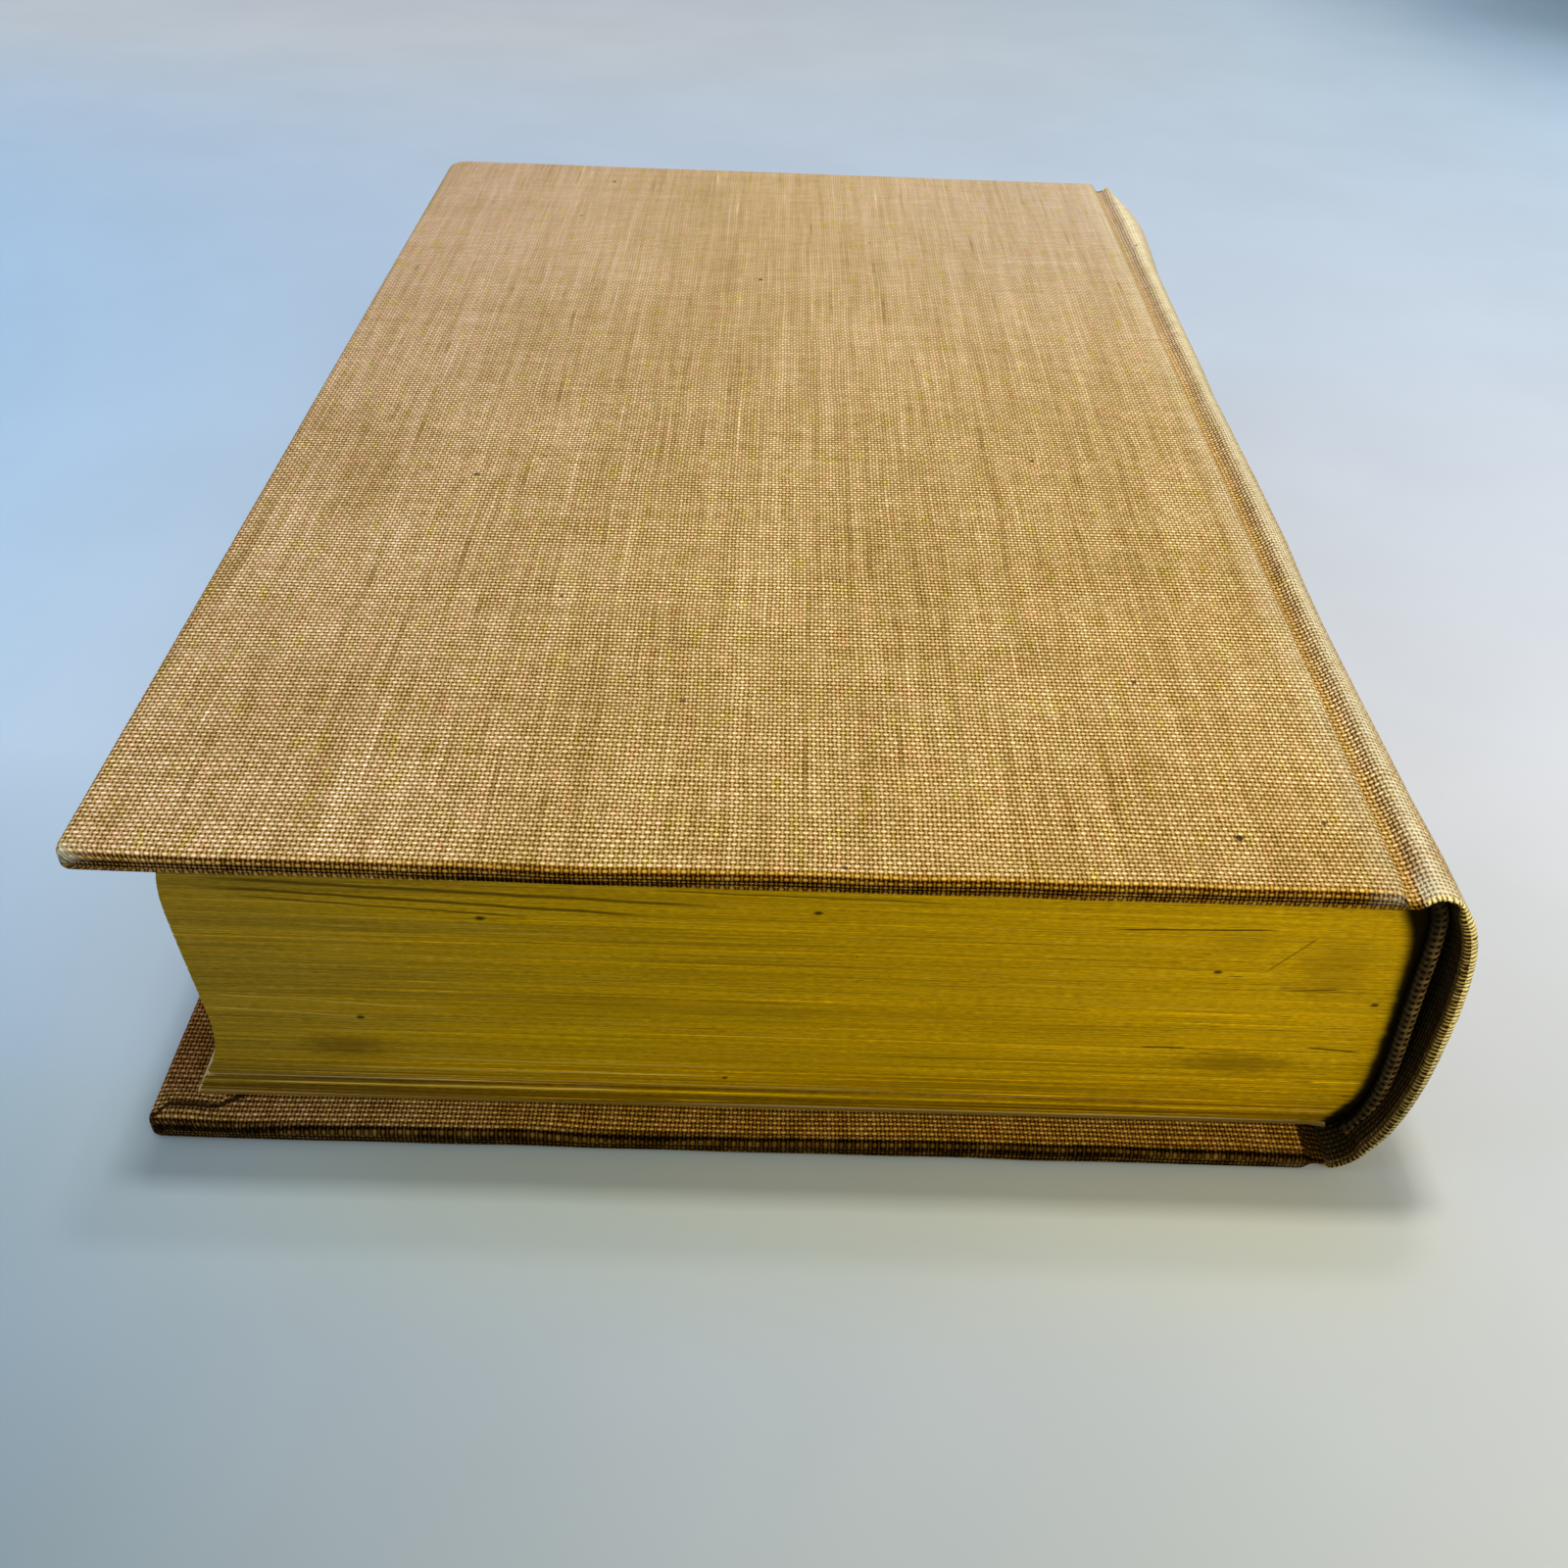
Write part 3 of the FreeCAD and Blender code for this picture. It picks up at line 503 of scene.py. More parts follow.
def band_thread():
    n = Nodes("headband_thread", 0.88, Specular_IOR_Level=0.04, Specular_Tint=(1.0, 0.72, 0.35, 1.0))
    s, a = n.uv("cloth")
    # Two rows of dark beads side by side, with tan thread between and beside them.
    lean = n.add(s, n.mul(n.math("ABSOLUTE", n.sub(a, 1.55)), 0.20))
    stripe = n.math("SINE", n.mul(lean, 2 * math.pi / BAND_PITCH))
    thread = n.math("SINE", n.mul(n.add(s, n.mul(a, 0.5)), 2 * math.pi / 0.30))
    row = n.math("ABSOLUTE", n.sub(n.math("ABSOLUTE", n.sub(a, 1.50)), 0.44))
    bead = n.mul(n.ramp(row, 0.16, 0.42, 1.0, 0.0), n.ramp(stripe, -0.25, 0.45))
    # a runs round the bead: outward side 0, towards the camera about 1.5.
    outer = n.ramp(a, 0.9, 2.3, 1.0, 0.0)
    tan = n.mix(outer, (0.060, 0.044, 0.018, 1.0), (0.44, 0.25, 0.065, 1.0))
    tan = n.scaled(tan, n.ramp(thread, -1.0, 1.0, 0.65, 1.20))
    tan = n.scaled(tan, n.ramp(stripe, -1.0, 1.0, 1.15, 0.70))
    color = n.mix(bead, tan, (0.010, 0.005, 0.002, 1.0))
    color = n.mix(n.ramp(a, 2.35, 2.9), color, (0.006, 0.005, 0.002, 1.0))
    dirt = n.noise(s, a, 0.0, 0.9, 3.0, 0.6)
    color = n.mix(n.ramp(dirt, 0.38, 0.70, 0.0, 0.75), color, (0.010, 0.008, 0.004, 1.0))
    # Painted shade: the band darkens to near black towards its top end, under the cover.
    painted_end_fade = n.ramp(s, 0.0, 9.0, 0.85, 0.0)
    color = n.mix(painted_end_fade, color, (0.008, 0.007, 0.004, 1.0))
    n.color(color)
    n.bump(thread, 0.00010, 0.9)
    return n.material


def plain_fibrous(name, dark, light, scale, roughness=0.85):
    """Card, board, kraft paper: mottled by fibres at one scale."""
    n = Nodes(name, roughness, Specular_IOR_Level=0.25)
    x, y, z = n.object_mm()
    fibre = n.noise(n.mul(x, 3.0), y, n.mul(z, 3.0), scale, 4.0, 0.65)
    cloud = n.noise(x, y, z, 0.05, 3.0, 0.6)
    color = n.mix(n.ramp(fibre, 0.3, 0.7), dark, light)
    n.color(n.scaled(color, n.ramp(cloud, 0.3, 0.7, 0.85, 1.1)))
    n.bump(fibre, 0.00005, 0.6)
    return n.material


def gauze():
    n = Nodes("super_gauze", 0.9, Specular_IOR_Level=0.2)
    x, y, z = n.object_mm()
    su = n.math("ABSOLUTE", n.math("SINE", n.mul(y, math.pi / 0.9)))
    sv = n.math("ABSOLUTE", n.math("SINE", n.mul(z, math.pi / 0.9)))
    thread = n.math("MAXIMUM", su, sv)
    color = n.mix(n.ramp(thread, 0.6, 0.95), srgb(150, 128, 88), srgb(214, 200, 164))
    cloud = n.noise(x, y, z, 0.08, 3.0, 0.6)
    n.color(n.scaled(color, n.ramp(cloud, 0.3, 0.7, 0.85, 1.1)))
    n.bump(thread, 0.0001, 0.7)
    return n.material


# ------------------------------------------------------------- bookcloth case
END_ROUND = 1.0
ROWS_NEAR = [0, .06, .16, .3, .47, .68, 1.0, 1.35, 1.8, 2.3, 2.7, 2.95, 3.15, 3.35, 3.6, 4.2, 5, 6, 7.5, 9.5,
             11.5, 13.3, 14.7, 15.2, 17]


def row_positions(step=2.8):
    inside = np.linspace(17, 2 * HALF_H - 17, int((2 * HALF_H - 34) / step))[1:-1]
    e = np.r_[ROWS_NEAR, inside, [2 * HALF_H - t for t in ROWS_NEAR[::-1]]]
    return e - HALF_H


SPINE_TOP = [(152.7, 24.0), (152.65, 28.2), (152.25, 33.0), (151.3, 37.8), (149.9, 41.6), (148.1, 44.35),
             (147.0, 45.25), (145.75, 45.6), (144.95, 45.3), (144.3, 44.7)]
SPINE_LOW = [(152.7, 24.0), (152.5, 17.5), (151.8, 11.4), (150.6, 6.6), (148.7, 3.0), (147.1, 1.35),
             (145.5, 0.6), (144.85, 0.75), (144.3, 1.25)]

# How far the shoulder of the spine stands out, from head to tail.
BULGE_AT = np.array([0, 10, 20, 30, 40, 50, 60, 70, 80, 100, 120, 130, 140, 160, 180, 190, 200, 210, 220,
                     228, 231, 233, 235.0])
BULGE = np.array([0.35, .33, .03, -.09, -.24, -.35, -.4, -.3, 0, -.04, -.22, -.37, -.08, -.04, .11, .26, .88, 1.32,
                  .76, -.49, -1.3, -1.9, -2.6])


def widening(y):
    """The case is a little wider towards the tail."""
    return -0.85 + 1.9 * (y + HALF_H) / (2 * HALF_H)


def drift(x, y):
    return widening(y) * (smooth(x, 96, 141) - 0.55 * smooth(x, 146, 152.5))


def fold_line(x):
    """Distance from the end at which the folded corner's seam runs."""
    return 1.5 + 1.6 * smooth(x, 0.6, 2.4) + 1.7 * smooth(x, 7.5, 11.0)


def case_half(front):
    """Board, bookcloth round it, joint and half of the spine, as one skin."""
    # Outer and inner curves have the same columns, from the middle of the
    # spine to the fore-edge, where they meet.
    n_spine, n_joint, n_flat, n_edge = 40, 24, 50, 7
    spine = curve_through(SPINE_TOP if front else SPINE_LOW, n_spine)
    if front:
        joint_out = curve_through([(144.3, 44.7), (143.75, 44.43), (143.15, 44.4), (142.68, 44.55),
                                   (142.42, 44.95), (142.28, 45.42), (142.05, 45.85), (141.6, 46.12),
                                   (141.0, 46.2)], n_joint)
        joint_in = curve_through([(144.5, 44.35), (143.9, 44.05), (143.4, 43.98), (142.9, 43.97),
                                  (142.5, 43.9), (142.25, 43.7), (142.05, 43.52), (141.6, 43.42),
                                  (141.0, 43.4)], n_joint)
    else:
        joint_out = curve_through([(144.3, 1.25), (143.75, 1.47), (143.15, 1.5), (142.7, 1.38),
                                   (142.42, 1.02), (142.28, 0.6), (142.05, 0.27), (141.6, 0.05),
                                   (141.0, 0.0)], n_joint)
        joint_in = curve_through([(144.5, 1.65), (143.9, 1.87), (143.3, 1.93), (142.9, 1.98),
                                  (142.55, 2.2), (142.3, 2.5), (142.0, 2.72), (141.6, 2.79),
                                  (141.0, 2.8)], n_joint)
    flip = (lambda z: z) if front else (lambda z: TOTAL - z)
    xs = np.r_[np.linspace(141.0, 17.0, n_flat - 12),
               [15.4, 14.8, 13, 11.5, 10, 8.5, 7, 5.5, 4, 2.8, 1.9, 1.2, 0.8]]
    flat_out = np.c_[xs, np.full(len(xs), flip(46.2))]
    flat_in = np.c_[xs, np.full(len(xs), flip(43.4))]
    ang = np.linspace(0, math.pi / 2, n_edge)[1:]
    edge_out = np.c_[0.8 - 0.8 * np.sin(ang), [flip(45.4 + 0.8 * math.cos(a)) for a in ang]]
    edge_in = np.c_[0.8 - 0.8 * np.sin(ang), [flip(44.2 - 0.8 * math.cos(a)) for a in ang]]
    meet = np.array([[0.0, flip(44.8)]])
    outer = np.vstack([spine, joint_out[1:], flat_out[1:], edge_out, meet])
    nrm = normals_of(spine)
    if nrm[0, 0] > 0:
        nrm = -nrm  # towards the pages
    along = np.linspace(0, 1, n_spine)
    ridge_from = 0.72 if front else 0.74

    y = row_positions()
    rows, cols = len(y), len(outer)
    e = HALF_H - np.abs(y)
    near_end = 1 - smooth(e, 14.8, 15.2)
    X = np.repeat(outer[None, :, 0], rows, 0)
    Z = np.repeat(outer[None, :, 1], rows, 0)
    XI, ZI = np.empty_like(X), np.empty_like(Z)
    push = np.interp(y + HALF_H, BULGE_AT, BULGE)
    if not front:
        push = np.minimum(push, 0)
    level = 0.7 * np.minimum(push, 0) + 0.25 * np.maximum(push, 0)
    if not front:
        level_top = np.interp(y + HALF_H, BULGE_AT, BULGE)
        level = 0.7 * np.minimum(level_top, 0) + 0.25 * np.maximum(level_top, 0)
    shoulder = smooth(along, 0.25, 0.62)
    calm = 1 - smooth(along, 0.80, 0.97)
    for i in range(rows):
        # The cloth is doubled over the card near the ends, and rolled at the rim.
        roll = 0.50 * math.exp(-(e[i] / 1.8) ** 2) * (1 - smooth(along, 0.55, 0.75)) * smooth(-along, -1, -0.0)
        full = 1.35 - 0.90 * smooth(along, ridge_from, ridge_from + 0.12)
        # Cloth with the card inside it, thinning to the cloth at the joint.
        mid = 0.95 - 0.55 * smooth(along, ridge_from, ridge_from + 0.12)
        d = mid + (full + roll - mid) * near_end[i]
        amount = (level[i] + (push[i] - level[i]) * shoulder) * calm
        base = spine - nrm * amount[:, None]
        X[i, :n_spine], Z[i, :n_spine] = base[:, 0], base[:, 1]
        sp = base + nrm * d[:, None]
        ji = joint_in.copy()
        blend = smooth(np.arange(n_joint), 0, 5)[:, None]
        start = sp[-1]
        ji = start + (ji - ji[0]) * (1 - blend) + (ji - start) * blend
        fi = flat_in.copy()
        hollow = smooth(xs, 14.9, 15.3) * (1 - near_end[i]) * 0.4
        groove = 0.22 * np.exp(-((e[i] - fold_line(xs)) / 0.25) ** 2) * (1 - smooth(xs, 10.4, 11.4)) * smooth(xs, 0.5, 1.4)
        lump = 0.32 * (1 - smooth(xs, 4.5, 7.5)) * (1 - smooth(e[i], 4.0, 6.0)) * smooth(xs, 0.6, 2.4) * smooth(e[i], 0.5, 1.8)
        fi[:, 1] += (hollow + groove - lump) * (1 if front else -1)
        inner = np.vstack([sp, ji[1:], fi[1:], edge_in, meet])
        XI[i], ZI[i] = inner[:, 0], inner[:, 1]
    yy = y[:, None]
    X, XI = X + drift(X, yy), XI + drift(XI, yy)
    # Rounding of the head and tail edges.
    hx, hz = (X - XI) / 2, (Z - ZI) / 2
    half = np.hypot(hx, hz) + 1e-9
    r = np.minimum(END_ROUND, 0.88 * half)
    depth = np.where(e[:, None] < r, r - np.sqrt(np.maximum(0, r**2 - (r - e[:, None])**2)), 0)
    k = np.clip(depth / half, 0, 0.95)
    X, XI, Z, ZI = X - hx * k, XI + hx * k, Z - hz * k, ZI + hz * k
    # Corner radii in plan, worn rounder at the tail.
    R = np.where(y > 0, 4.6 if front else 3.8, 1.9)
    shift = np.where(e < R, R - np.sqrt(np.maximum(0, R**2 - (R - e)**2)), 0)[:, None]
    X += shift * np.clip(1 - X / 12, 0, 1)
    XI += shift * np.clip(1 - XI / 12, 0, 1)
    Y = np.repeat(y[:, None], cols, 1)
    # Slight unevenness of board and cloth.
    board = smooth(-X, -142, -141)
    wave = 0.10 * value_noise(X / 37, Y / 41, 3) + 0.05 * value_noise(X / 11, Y / 13, 4)
    wave *= np.clip(e[:, None] / 20, 0.3, 1)
    if front:
        Z -= 0.10 * board * (wave / 0.15 + 1) * 0.5
        Z += np.exp(-((X - drift(X, Y) - 145.6) / 1.2) ** 2) * (0.10 * value_noise(Y / 14, 0, 7))
        # The lip of the board dips into the joint at the head.
        dip = np.exp(-((X - 141.3) / 0.9) ** 2) * (1 - smooth(e[:, None], 0.4, 3.0)) * (Y < 0)
        Z -= 0.30 * dip
        ZI -= 0.12 * dip
    edge_wave = 0.10 * value_noise(X / 9, np.sign(Y) * 3.3, 11) * (1 - smooth(e[:, None], 0, 3))
    Y = Y + edge_wave * (X < 143)
    Z = np.clip(Z, 0.0, TOTAL)

    # Arc lengths for the cloth.
    mid = rows // 2
    du = np.hypot(np.diff(X[mid]), np.diff(Z[mid]))
    u = np.r_[0, np.cumsum(du)]
    if not front:
        u = -u
    arc = END_ROUND * np.arcsin(np.clip((END_ROUND - e) / END_ROUND, 0, 1))
    v_row = np.where(e < END_ROUND, np.sign(y) * (HALF_H - END_ROUND + arc), y)
    v_end = HALF_H - END_ROUND + END_ROUND * math.pi / 2

    faces, uvs = [], []
    N = rows * cols
    outer_v = np.c_[X.ravel(), Y.ravel(), Z.ravel()]
    inner_v = np.c_[XI.ravel(), Y.ravel(), ZI.ravel()]
    verts = np.vstack([outer_v, inner_v])

    def O(i, j):
        return i * cols + j

    def I(i, j):
        return O(i, j) if j == cols - 1 else N + i * cols + j

    u_end, thick = u[-1], 1.2
    sign = 1.0 if front else -1.0
    for i in range(rows - 1):
        for j in range(cols - 1):
            faces.append((O(i, j), O(i + 1, j), O(i + 1, j + 1), O(i, j + 1)))
            uvs += [(u[j], v_row[i]), (u[j], v_row[i + 1]), (u[j + 1], v_row[i + 1]), (u[j + 1], v_row[i])]
            faces.append((I(i, j), I(i + 1, j), I(i + 1, j + 1), I(i, j + 1)))
            xc = XI[i, j]
            ec = min(e[i], e[i + 1])
            side = -1.0 if y[i] + y[i + 1] < 0 else 1.0
            for a, b in ((i, j), (i + 1, j), (i + 1, j + 1), (i, j + 1)):
                if xc < 15 and ec > fold_line(xc) and xc < ec + 6:  # turned in from the fore-edge
                    uvs.append((u_end + sign * XI[a, b], y[a]))
                else:  # turned in from the head or tail
                    uvs.append((u[b], side * (v_end + thick + 0.57 + (HALF_H - side * y[a]))))
    for i, side in ((0, -1.0), (rows - 1, 1.0)):
        v0 = side * v_end
        for j in range(cols - 1):
            if j == cols - 2:
                faces.append((O(i, j), O(i, j + 1), I(i, j)))
                uvs += [(u[j], v0), (u[j + 1], v0 + side * 0.6), (u[j], v0 + side * thick)]
            else:
                faces.append((O(i, j), O(i, j + 1), I(i, j + 1), I(i, j)))
                uvs += [(u[j], v0), (u[j + 1], v0), (u[j + 1], v0 + side * thick), (u[j], v0 + side * thick)]
    for i in range(rows - 1):
        faces.append((O(i, 0), O(i + 1, 0), I(i + 1, 0), I(i, 0)))
        uvs += [(0, v_row[i]), (0, v_row[i + 1]), (0.4, v_row[i + 1]), (0.4, v_row[i])]

    # Masks for the material.
    ee = np.repeat(e[:, None], cols, 1)
    cc = np.repeat(np.arange(cols)[None], rows, 0)
    spine_col = (cc < n_spine).astype(float)
    joint_col = ((cc >= n_spine) & (cc < n_spine + n_joint - 6)).astype(float)
    head = (Y < 0).astype(float)
    side_o = 1 - smooth(X, 0.1, 1.3)
    # Outer skin.
    soil_o = (1 - spine_col) * (head * 0.95 + (1 - head) * 0.4) * (1 - smooth(ee, 0.20, 0.75))
    soil_o = np.maximum(soil_o, 0.55 * side_o)
    soil_o = np.maximum(soil_o, (0.0 if front else 0.55) * (1 - smooth(ee, 0.6, 1.2)) * (1 - spine_col))
    groove = np.exp(-((X - drift(X, Y) - 143.1) / 0.7) ** 2) * joint_col
    gold_o = head * (1 - smooth(ee, 0.35, 1.0)) * smooth(X, 8, 60) + 0.4 * groove + 0.35 * spine_col * head * (1 - smooth(ee, 1.0, 5.0))
    stain = np.exp(-((X - 144.0) / 0.8) ** 2) * np.exp(-(ee / 7.0) ** 2) * head * (1 if front else 0)
    crest = np.exp(-((X - drift(X, Y) - 146.3) / 1.1) ** 2)
    tip = np.exp(-((X / 2.4) ** 2 + (ee / 1.6) ** 2)) * head * (1 if front else 0)
    slope = np.exp(-((X - drift(X, Y) - 144.7) / 0.85) ** 2) * (spine_col + joint_col) * (1 if front else 0)
    rim_o = spine_col * (1 - smooth(ee, 0.15, 0.85))
    rim_i = spine_col * (1 - smooth(ee, 0.02, 0.60))
    face_o, face_i = (1 - spine_col) * (1 - smooth(ee, 0.5, 1.0)), (1 - spine_col) * (1 - smooth(ee, 0.45, 1.25) if not front else 1 - smooth(ee, 0.1, 0.45))
    # Painted highlight as a pale line along the board's lip; the spine's outer side is lightened as painted light
    # besides the rubbed crest.
    lip_highlight = 0.30 * np.exp(-((X - drift(X, Y) - 141.2) / 0.7) ** 2)
    rub_and_highlight_o = np.clip((0.90 * crest + 0.45 * smooth(X, 146, 149)) * (spine_col + joint_col) + lip_highlight, 0, 1) * (1 if front else 0.3)
    rub_and_highlight_o = np.maximum(rub_and_highlight_o, 0.75 * spine_col * head * (1 - smooth(ee, 1.5, 7.0)) * smooth(Z, 26, 40))
    red_o = stain
    # Inner skin.
    body_in = (1 - spine_col)
    # Painted shade over the inner skin, with extra soil at the ends.
    soil_and_shade_i = 0.78 * body_in + 0.22 * (1 - smooth(ee, 0.2, 1.0)) * body_in
    # Painted reflection of the gilt edge on the inner skin.
    gilt_reflection_i = 0.9 * body_in * smooth(XI, 18, 60)
    red_i = 0.6 * body_in * (1 - smooth(XI, 4, 22)) * smooth(ee, 2.0, 9.0) + 0.25 * body_in * (1 - smooth(XI, 12, 30))
    # Painted shade, with grime, in the hollow of the spine and the joint.
    shade_and_grime_i = spine_col * (0.84 + 0.14 * smooth(ee, 0.3, 1.5)) + joint_col * (0.3 + 0.6 * smooth(ee, 0.2, 1.5))
    zero = np.zeros_like(X)
    masks = {
        "soil": (soil_o, soil_and_shade_i), "gold": (np.clip(gold_o, 0, 1), gilt_reflection_i), "red": (red_o, np.clip(red_i, 0, 1)),
        "rub_and_highlight": (rub_and_highlight_o, zero), "fray": (tip, zero), "dark": (zero, np.clip(shade_and_grime_i, 0, 1)),
        "inner": (zero, body_in), "slope": (np.clip(slope, 0, 1), zero), "rim": (rim_o, rim_i),
        "face": (face_o, face_i),
    }
    attributes = {key: np.r_[a.ravel(), b.ravel()] for key, (a, b) in masks.items()}

    # Drop the doubled fore-edge column of the inner sheet.
    used = np.unique(np.concatenate([np.array(f) for f in faces]))
    index = -np.ones(len(verts), int)
    index[used] = np.arange(len(used))
    faces = [[int(index[k]) for k in f] for f in faces]
    return object_from("front_case" if front else "rear_case", verts[used], faces, uvs,
                       {key: values[used] for key, values in attributes.items()}, 50)


cloth_material = bookcloth()
front_case = case_half(True)
rear_case = case_half(False)
for obj in (front_case, rear_case):
    obj.data.materials.append(cloth_material)
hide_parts("front_cover_cloth", "front_board", "spine_cloth", "spine_inlay")
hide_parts("rear_cover_cloth", "rear_board", "spine_cloth", "spine_inlay")
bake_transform(front_case)
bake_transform(rear_case)

# ----------------------------------------------------------------- text block
BACK = [(145.20, 43.00), (147.30, 38.40), (148.00, 31.00), (148.40, 22.90), (148.65, 15.00), (148.10, 8.60), (145.30, 3.20)]
FORE = [(8.50, 43.00), (7.45, 36.20), (7.80, 29.40), (8.45, 22.70), (9.10, 14.60), (8.20, 9.40), (5.10, 3.20)]
BACK_CURVE = curve_through(BACK, 200)
FORE_CURVE = curve_through(FORE, 200)


def back_x(z):
    return np.interp(z, BACK_CURVE[::-1, 1], BACK_CURVE[::-1, 0])


def fore_x(z):
    return np.interp(z, FORE_CURVE[::-1, 1], FORE_CURVE[::-1, 0])


def text_block():
    """Leaves as thin layers, each with its own set-back, round all four sides."""
    rng = np.random.default_rng(21)
    bottom, top = 3.2, 43.0
    sizes = rng.uniform(0.17, 0.42, 200)
    sizes = sizes[np.cumsum(sizes) < (top - bottom)]
    bounds = bottom + np.r_[0, np.cumsum(sizes)] * (top - bottom) / sizes.sum()
    layers = len(bounds) - 1
    head = np.r_[np.linspace(0, 0.935, 58), np.linspace(0.94, 1, 26)]
    side = np.linspace(0, 1, 44)
    tail = np.linspace(0, 1, 40)
    back = np.linspace(0, 1, 8)
    rows = []
    for k in range(layers):
        z0, z1 = bounds[k], bounds[k + 1]
        loose = math.exp(-((z0 - 5.5) / 3.0) ** 2) + 0.5 * math.exp(-((z0 - 41.5) / 1.2) ** 2)
        own = rng.uniform(-0.02, 0.01) + rng.uniform(-0.22, 0.05) * loose
        gap = 0.012 + (0.10 if rng.random() < 0.05 + 0.45 * loose else 0.0) * (0.4 + loose)
        phase = rng.uniform(0, 50)
        for zf, inset in ((0.10, gap), (0.5, 0.0), (0.90, gap * 0.6)):
            rows.append((z0 + (z1 - z0) * zf, own - inset, k, phase))
    rows[0] = (bottom, *rows[0][1:])
    rows[-1] = (top, *rows[-1][1:])
    verts, shade = [], []
    for zc, out, k, phase in rows:
        fx, bx = fore_x(zc), back_x(zc)
        px = np.r_[fx + (bx - fx) * head, np.full(len(back) - 1, bx), (bx + (fx - bx) * tail)[1:],
                   np.full(len(side) - 2, fx)]
        py = np.r_[np.full(len(head), -112.5), (-112.5 + 225 * back)[1:], np.full(len(tail) - 1, 112.5),
                   (112.5 - 225 * side)[1:-1]]
        ox = np.zeros(len(px))
        oy = np.zeros(len(px))
        a, b = len(head), len(head) + len(back) - 1
        c = b + len(tail) - 1
        vary = 1 + 0.8 * value_noise(px / 24 + phase, py / 24 + k * 0.37, 31)
        o = out * vary
        oy[:a] -= o[:a]
        oy[b:c] += o[b:c]
        ox[c:] -= 1.6 * o[c:]
        ox[0] -= 1.6 * o[0]
        ox[c - 1] -= 1.6 * o[c - 1]
        ripple = 0.16 * value_noise(px / 45 + 3, py / 45, 33) * math.sin(math.pi * (zc - bottom) / (top - bottom))
        ripple = ripple + 0.03 * value_noise(px / 9, k * 0.21 + py / 9, 35) * (0 < zc - bottom < top - bottom)
        pz = zc + ripple * (1 if bottom < zc < top else 0)
        verts.append(np.c_[px + ox, py + oy, pz])
        # Painted shadow and grime beside the headband, wider towards the top.
        edge = bx - (0.7 + 1.9 * smooth(zc, 33, 42)) + 0.12 * value_noise(zc / 1.1, px * 0 + 2, 41)
        soft = 1.3 + 0.6 * smooth(zc, 20, 40)
        dark = smooth(px, edge - soft, edge - 0.1) * (py < -112) * 0.99
        shade.append(dark)
    count = len(verts[0])
    verts = np.vstack(verts)
    shade = np.concatenate(shade)
    faces = []
    for r in range(len(rows) - 1):
        p0, p1 = r * count, (r + 1) * count
        for q in range(count):
            q1 = (q + 1) % count
            faces.append((p0 + q, p0 + q1, p1 + q1, p1 + q))
    faces.append(tuple(range(count))[::-1])
    faces.append(tuple((len(rows) - 1) * count + q for q in range(count)))
    return object_from("pages", verts, faces, None, {"shade": shade}, 35)


pages = text_block()
pages.data.materials.append(page_edges())
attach(pages, "text_block")
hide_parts("text_block")

# ----------------------------------------------------------------- endpapers
paper_material = endpaper()


def sheet_grid(name, xs, ys, top, thickness, soil=None):
    """A thin sheet: top is a function of x, y (mm) giving its upper face."""
    xs, ys = np.asarray(xs, float), np.asarray(ys, float)
    XX, YY = np.meshgrid(xs, ys)
    ZZ = top(XX, YY)
    a = np.c_[XX.ravel(), YY.ravel(), ZZ.ravel()]
    b = a.copy()
    b[:, 2] -= thickness
    rows, cols = XX.shape
    n = rows * cols
    faces = []
    for i in range(rows - 1):
        for j in range(cols - 1):
            k = i * cols + j
            faces.append((k, k + 1, k + cols + 1, k + cols))
            faces.append((n + k, n + k + cols, n + k + cols + 1, n + k + 1))
    for i in range(rows - 1):
        for j in (0, cols - 1):
            k = i * cols + j
            faces.append((k, k + cols, n + k + cols, n + k))
    for j in range(cols - 1):
        for i in (0, rows - 1):
            k = i * cols + j
            faces.append((k, k + 1, n + k + 1, n + k))
    verts = np.vstack([a, b])
    stain = np.zeros(len(verts)) if soil is None else soil(verts[:, 0], verts[:, 1])
    return object_from(name, verts, faces, None, {"soil": stain}, 40)


def edge_tan(x, y):
    e = np.minimum(112.5 - np.abs(y), np.abs(x - 8))
    return np.clip(0.55 * (1 - smooth(e, 0, 9)) + 0.35 * smooth(x, 138, 144), 0, 1)


hinge_x = np.linspace(142.2, 144.7, 9)
leaf_y = np.linspace(-112.5, 112.5, 80)


def front_leaf_top(x, y):
    return 43.2 + 0.22 * smooth(x, 142.4, 144.6) - 0.02 * smooth(x, 139, 142)


def rear_leaf_top(x, y):
    return 3.2 - 0.35 * smooth(x, 142.4, 144.6)


front_leaf = sheet_grid("front_flyleaf_sheet", np.r_[np.linspace(8.6, 142, 44), hinge_x], leaf_y,
                        front_leaf_top, 0.18, edge_tan)
rear_leaf = sheet_grid("rear_flyleaf_sheet", np.r_[np.linspace(5.3, 142, 44), hinge_x], leaf_y,
                       rear_leaf_top, 0.18, edge_tan)


def turn_in_step(x, y):
    """0 over the turn-ins, 1 in the window between them."""
    e = HALF_H - np.abs(y)
    return smooth(x, 14.7, 15.9) * smooth(e, 14.7, 15.9)


paste_x = np.r_[[5.0, 5.5, 7, 9, 12, 14, 14.7, 15.1, 15.5, 15.9, 16.6, 18], np.linspace(20, 141.5, 42), hinge_x]
paste_e = [5.0, 5.5, 7, 9, 12, 14, 14.7, 15.1, 15.5, 15.9, 16.6, 18]
paste_y = np.r_[[t - HALF_H for t in paste_e], np.linspace(-97, 97, 66), [HALF_H - t for t in paste_e[::-1]]]


def front_paste_top(x, y):
    return 43.40 + 0.25 * turn_in_step(x, y) * (1 - smooth(x, 140.5, 142.0)) + 0.18 * smooth(x, 142.3, 144.7)


def rear_paste_top(x, y):
    return 2.95 - 0.25 * turn_in_step(x, y) * (1 - smooth(x, 140.5, 142.0)) - 0.35 * smooth(x, 142.3, 144.7)


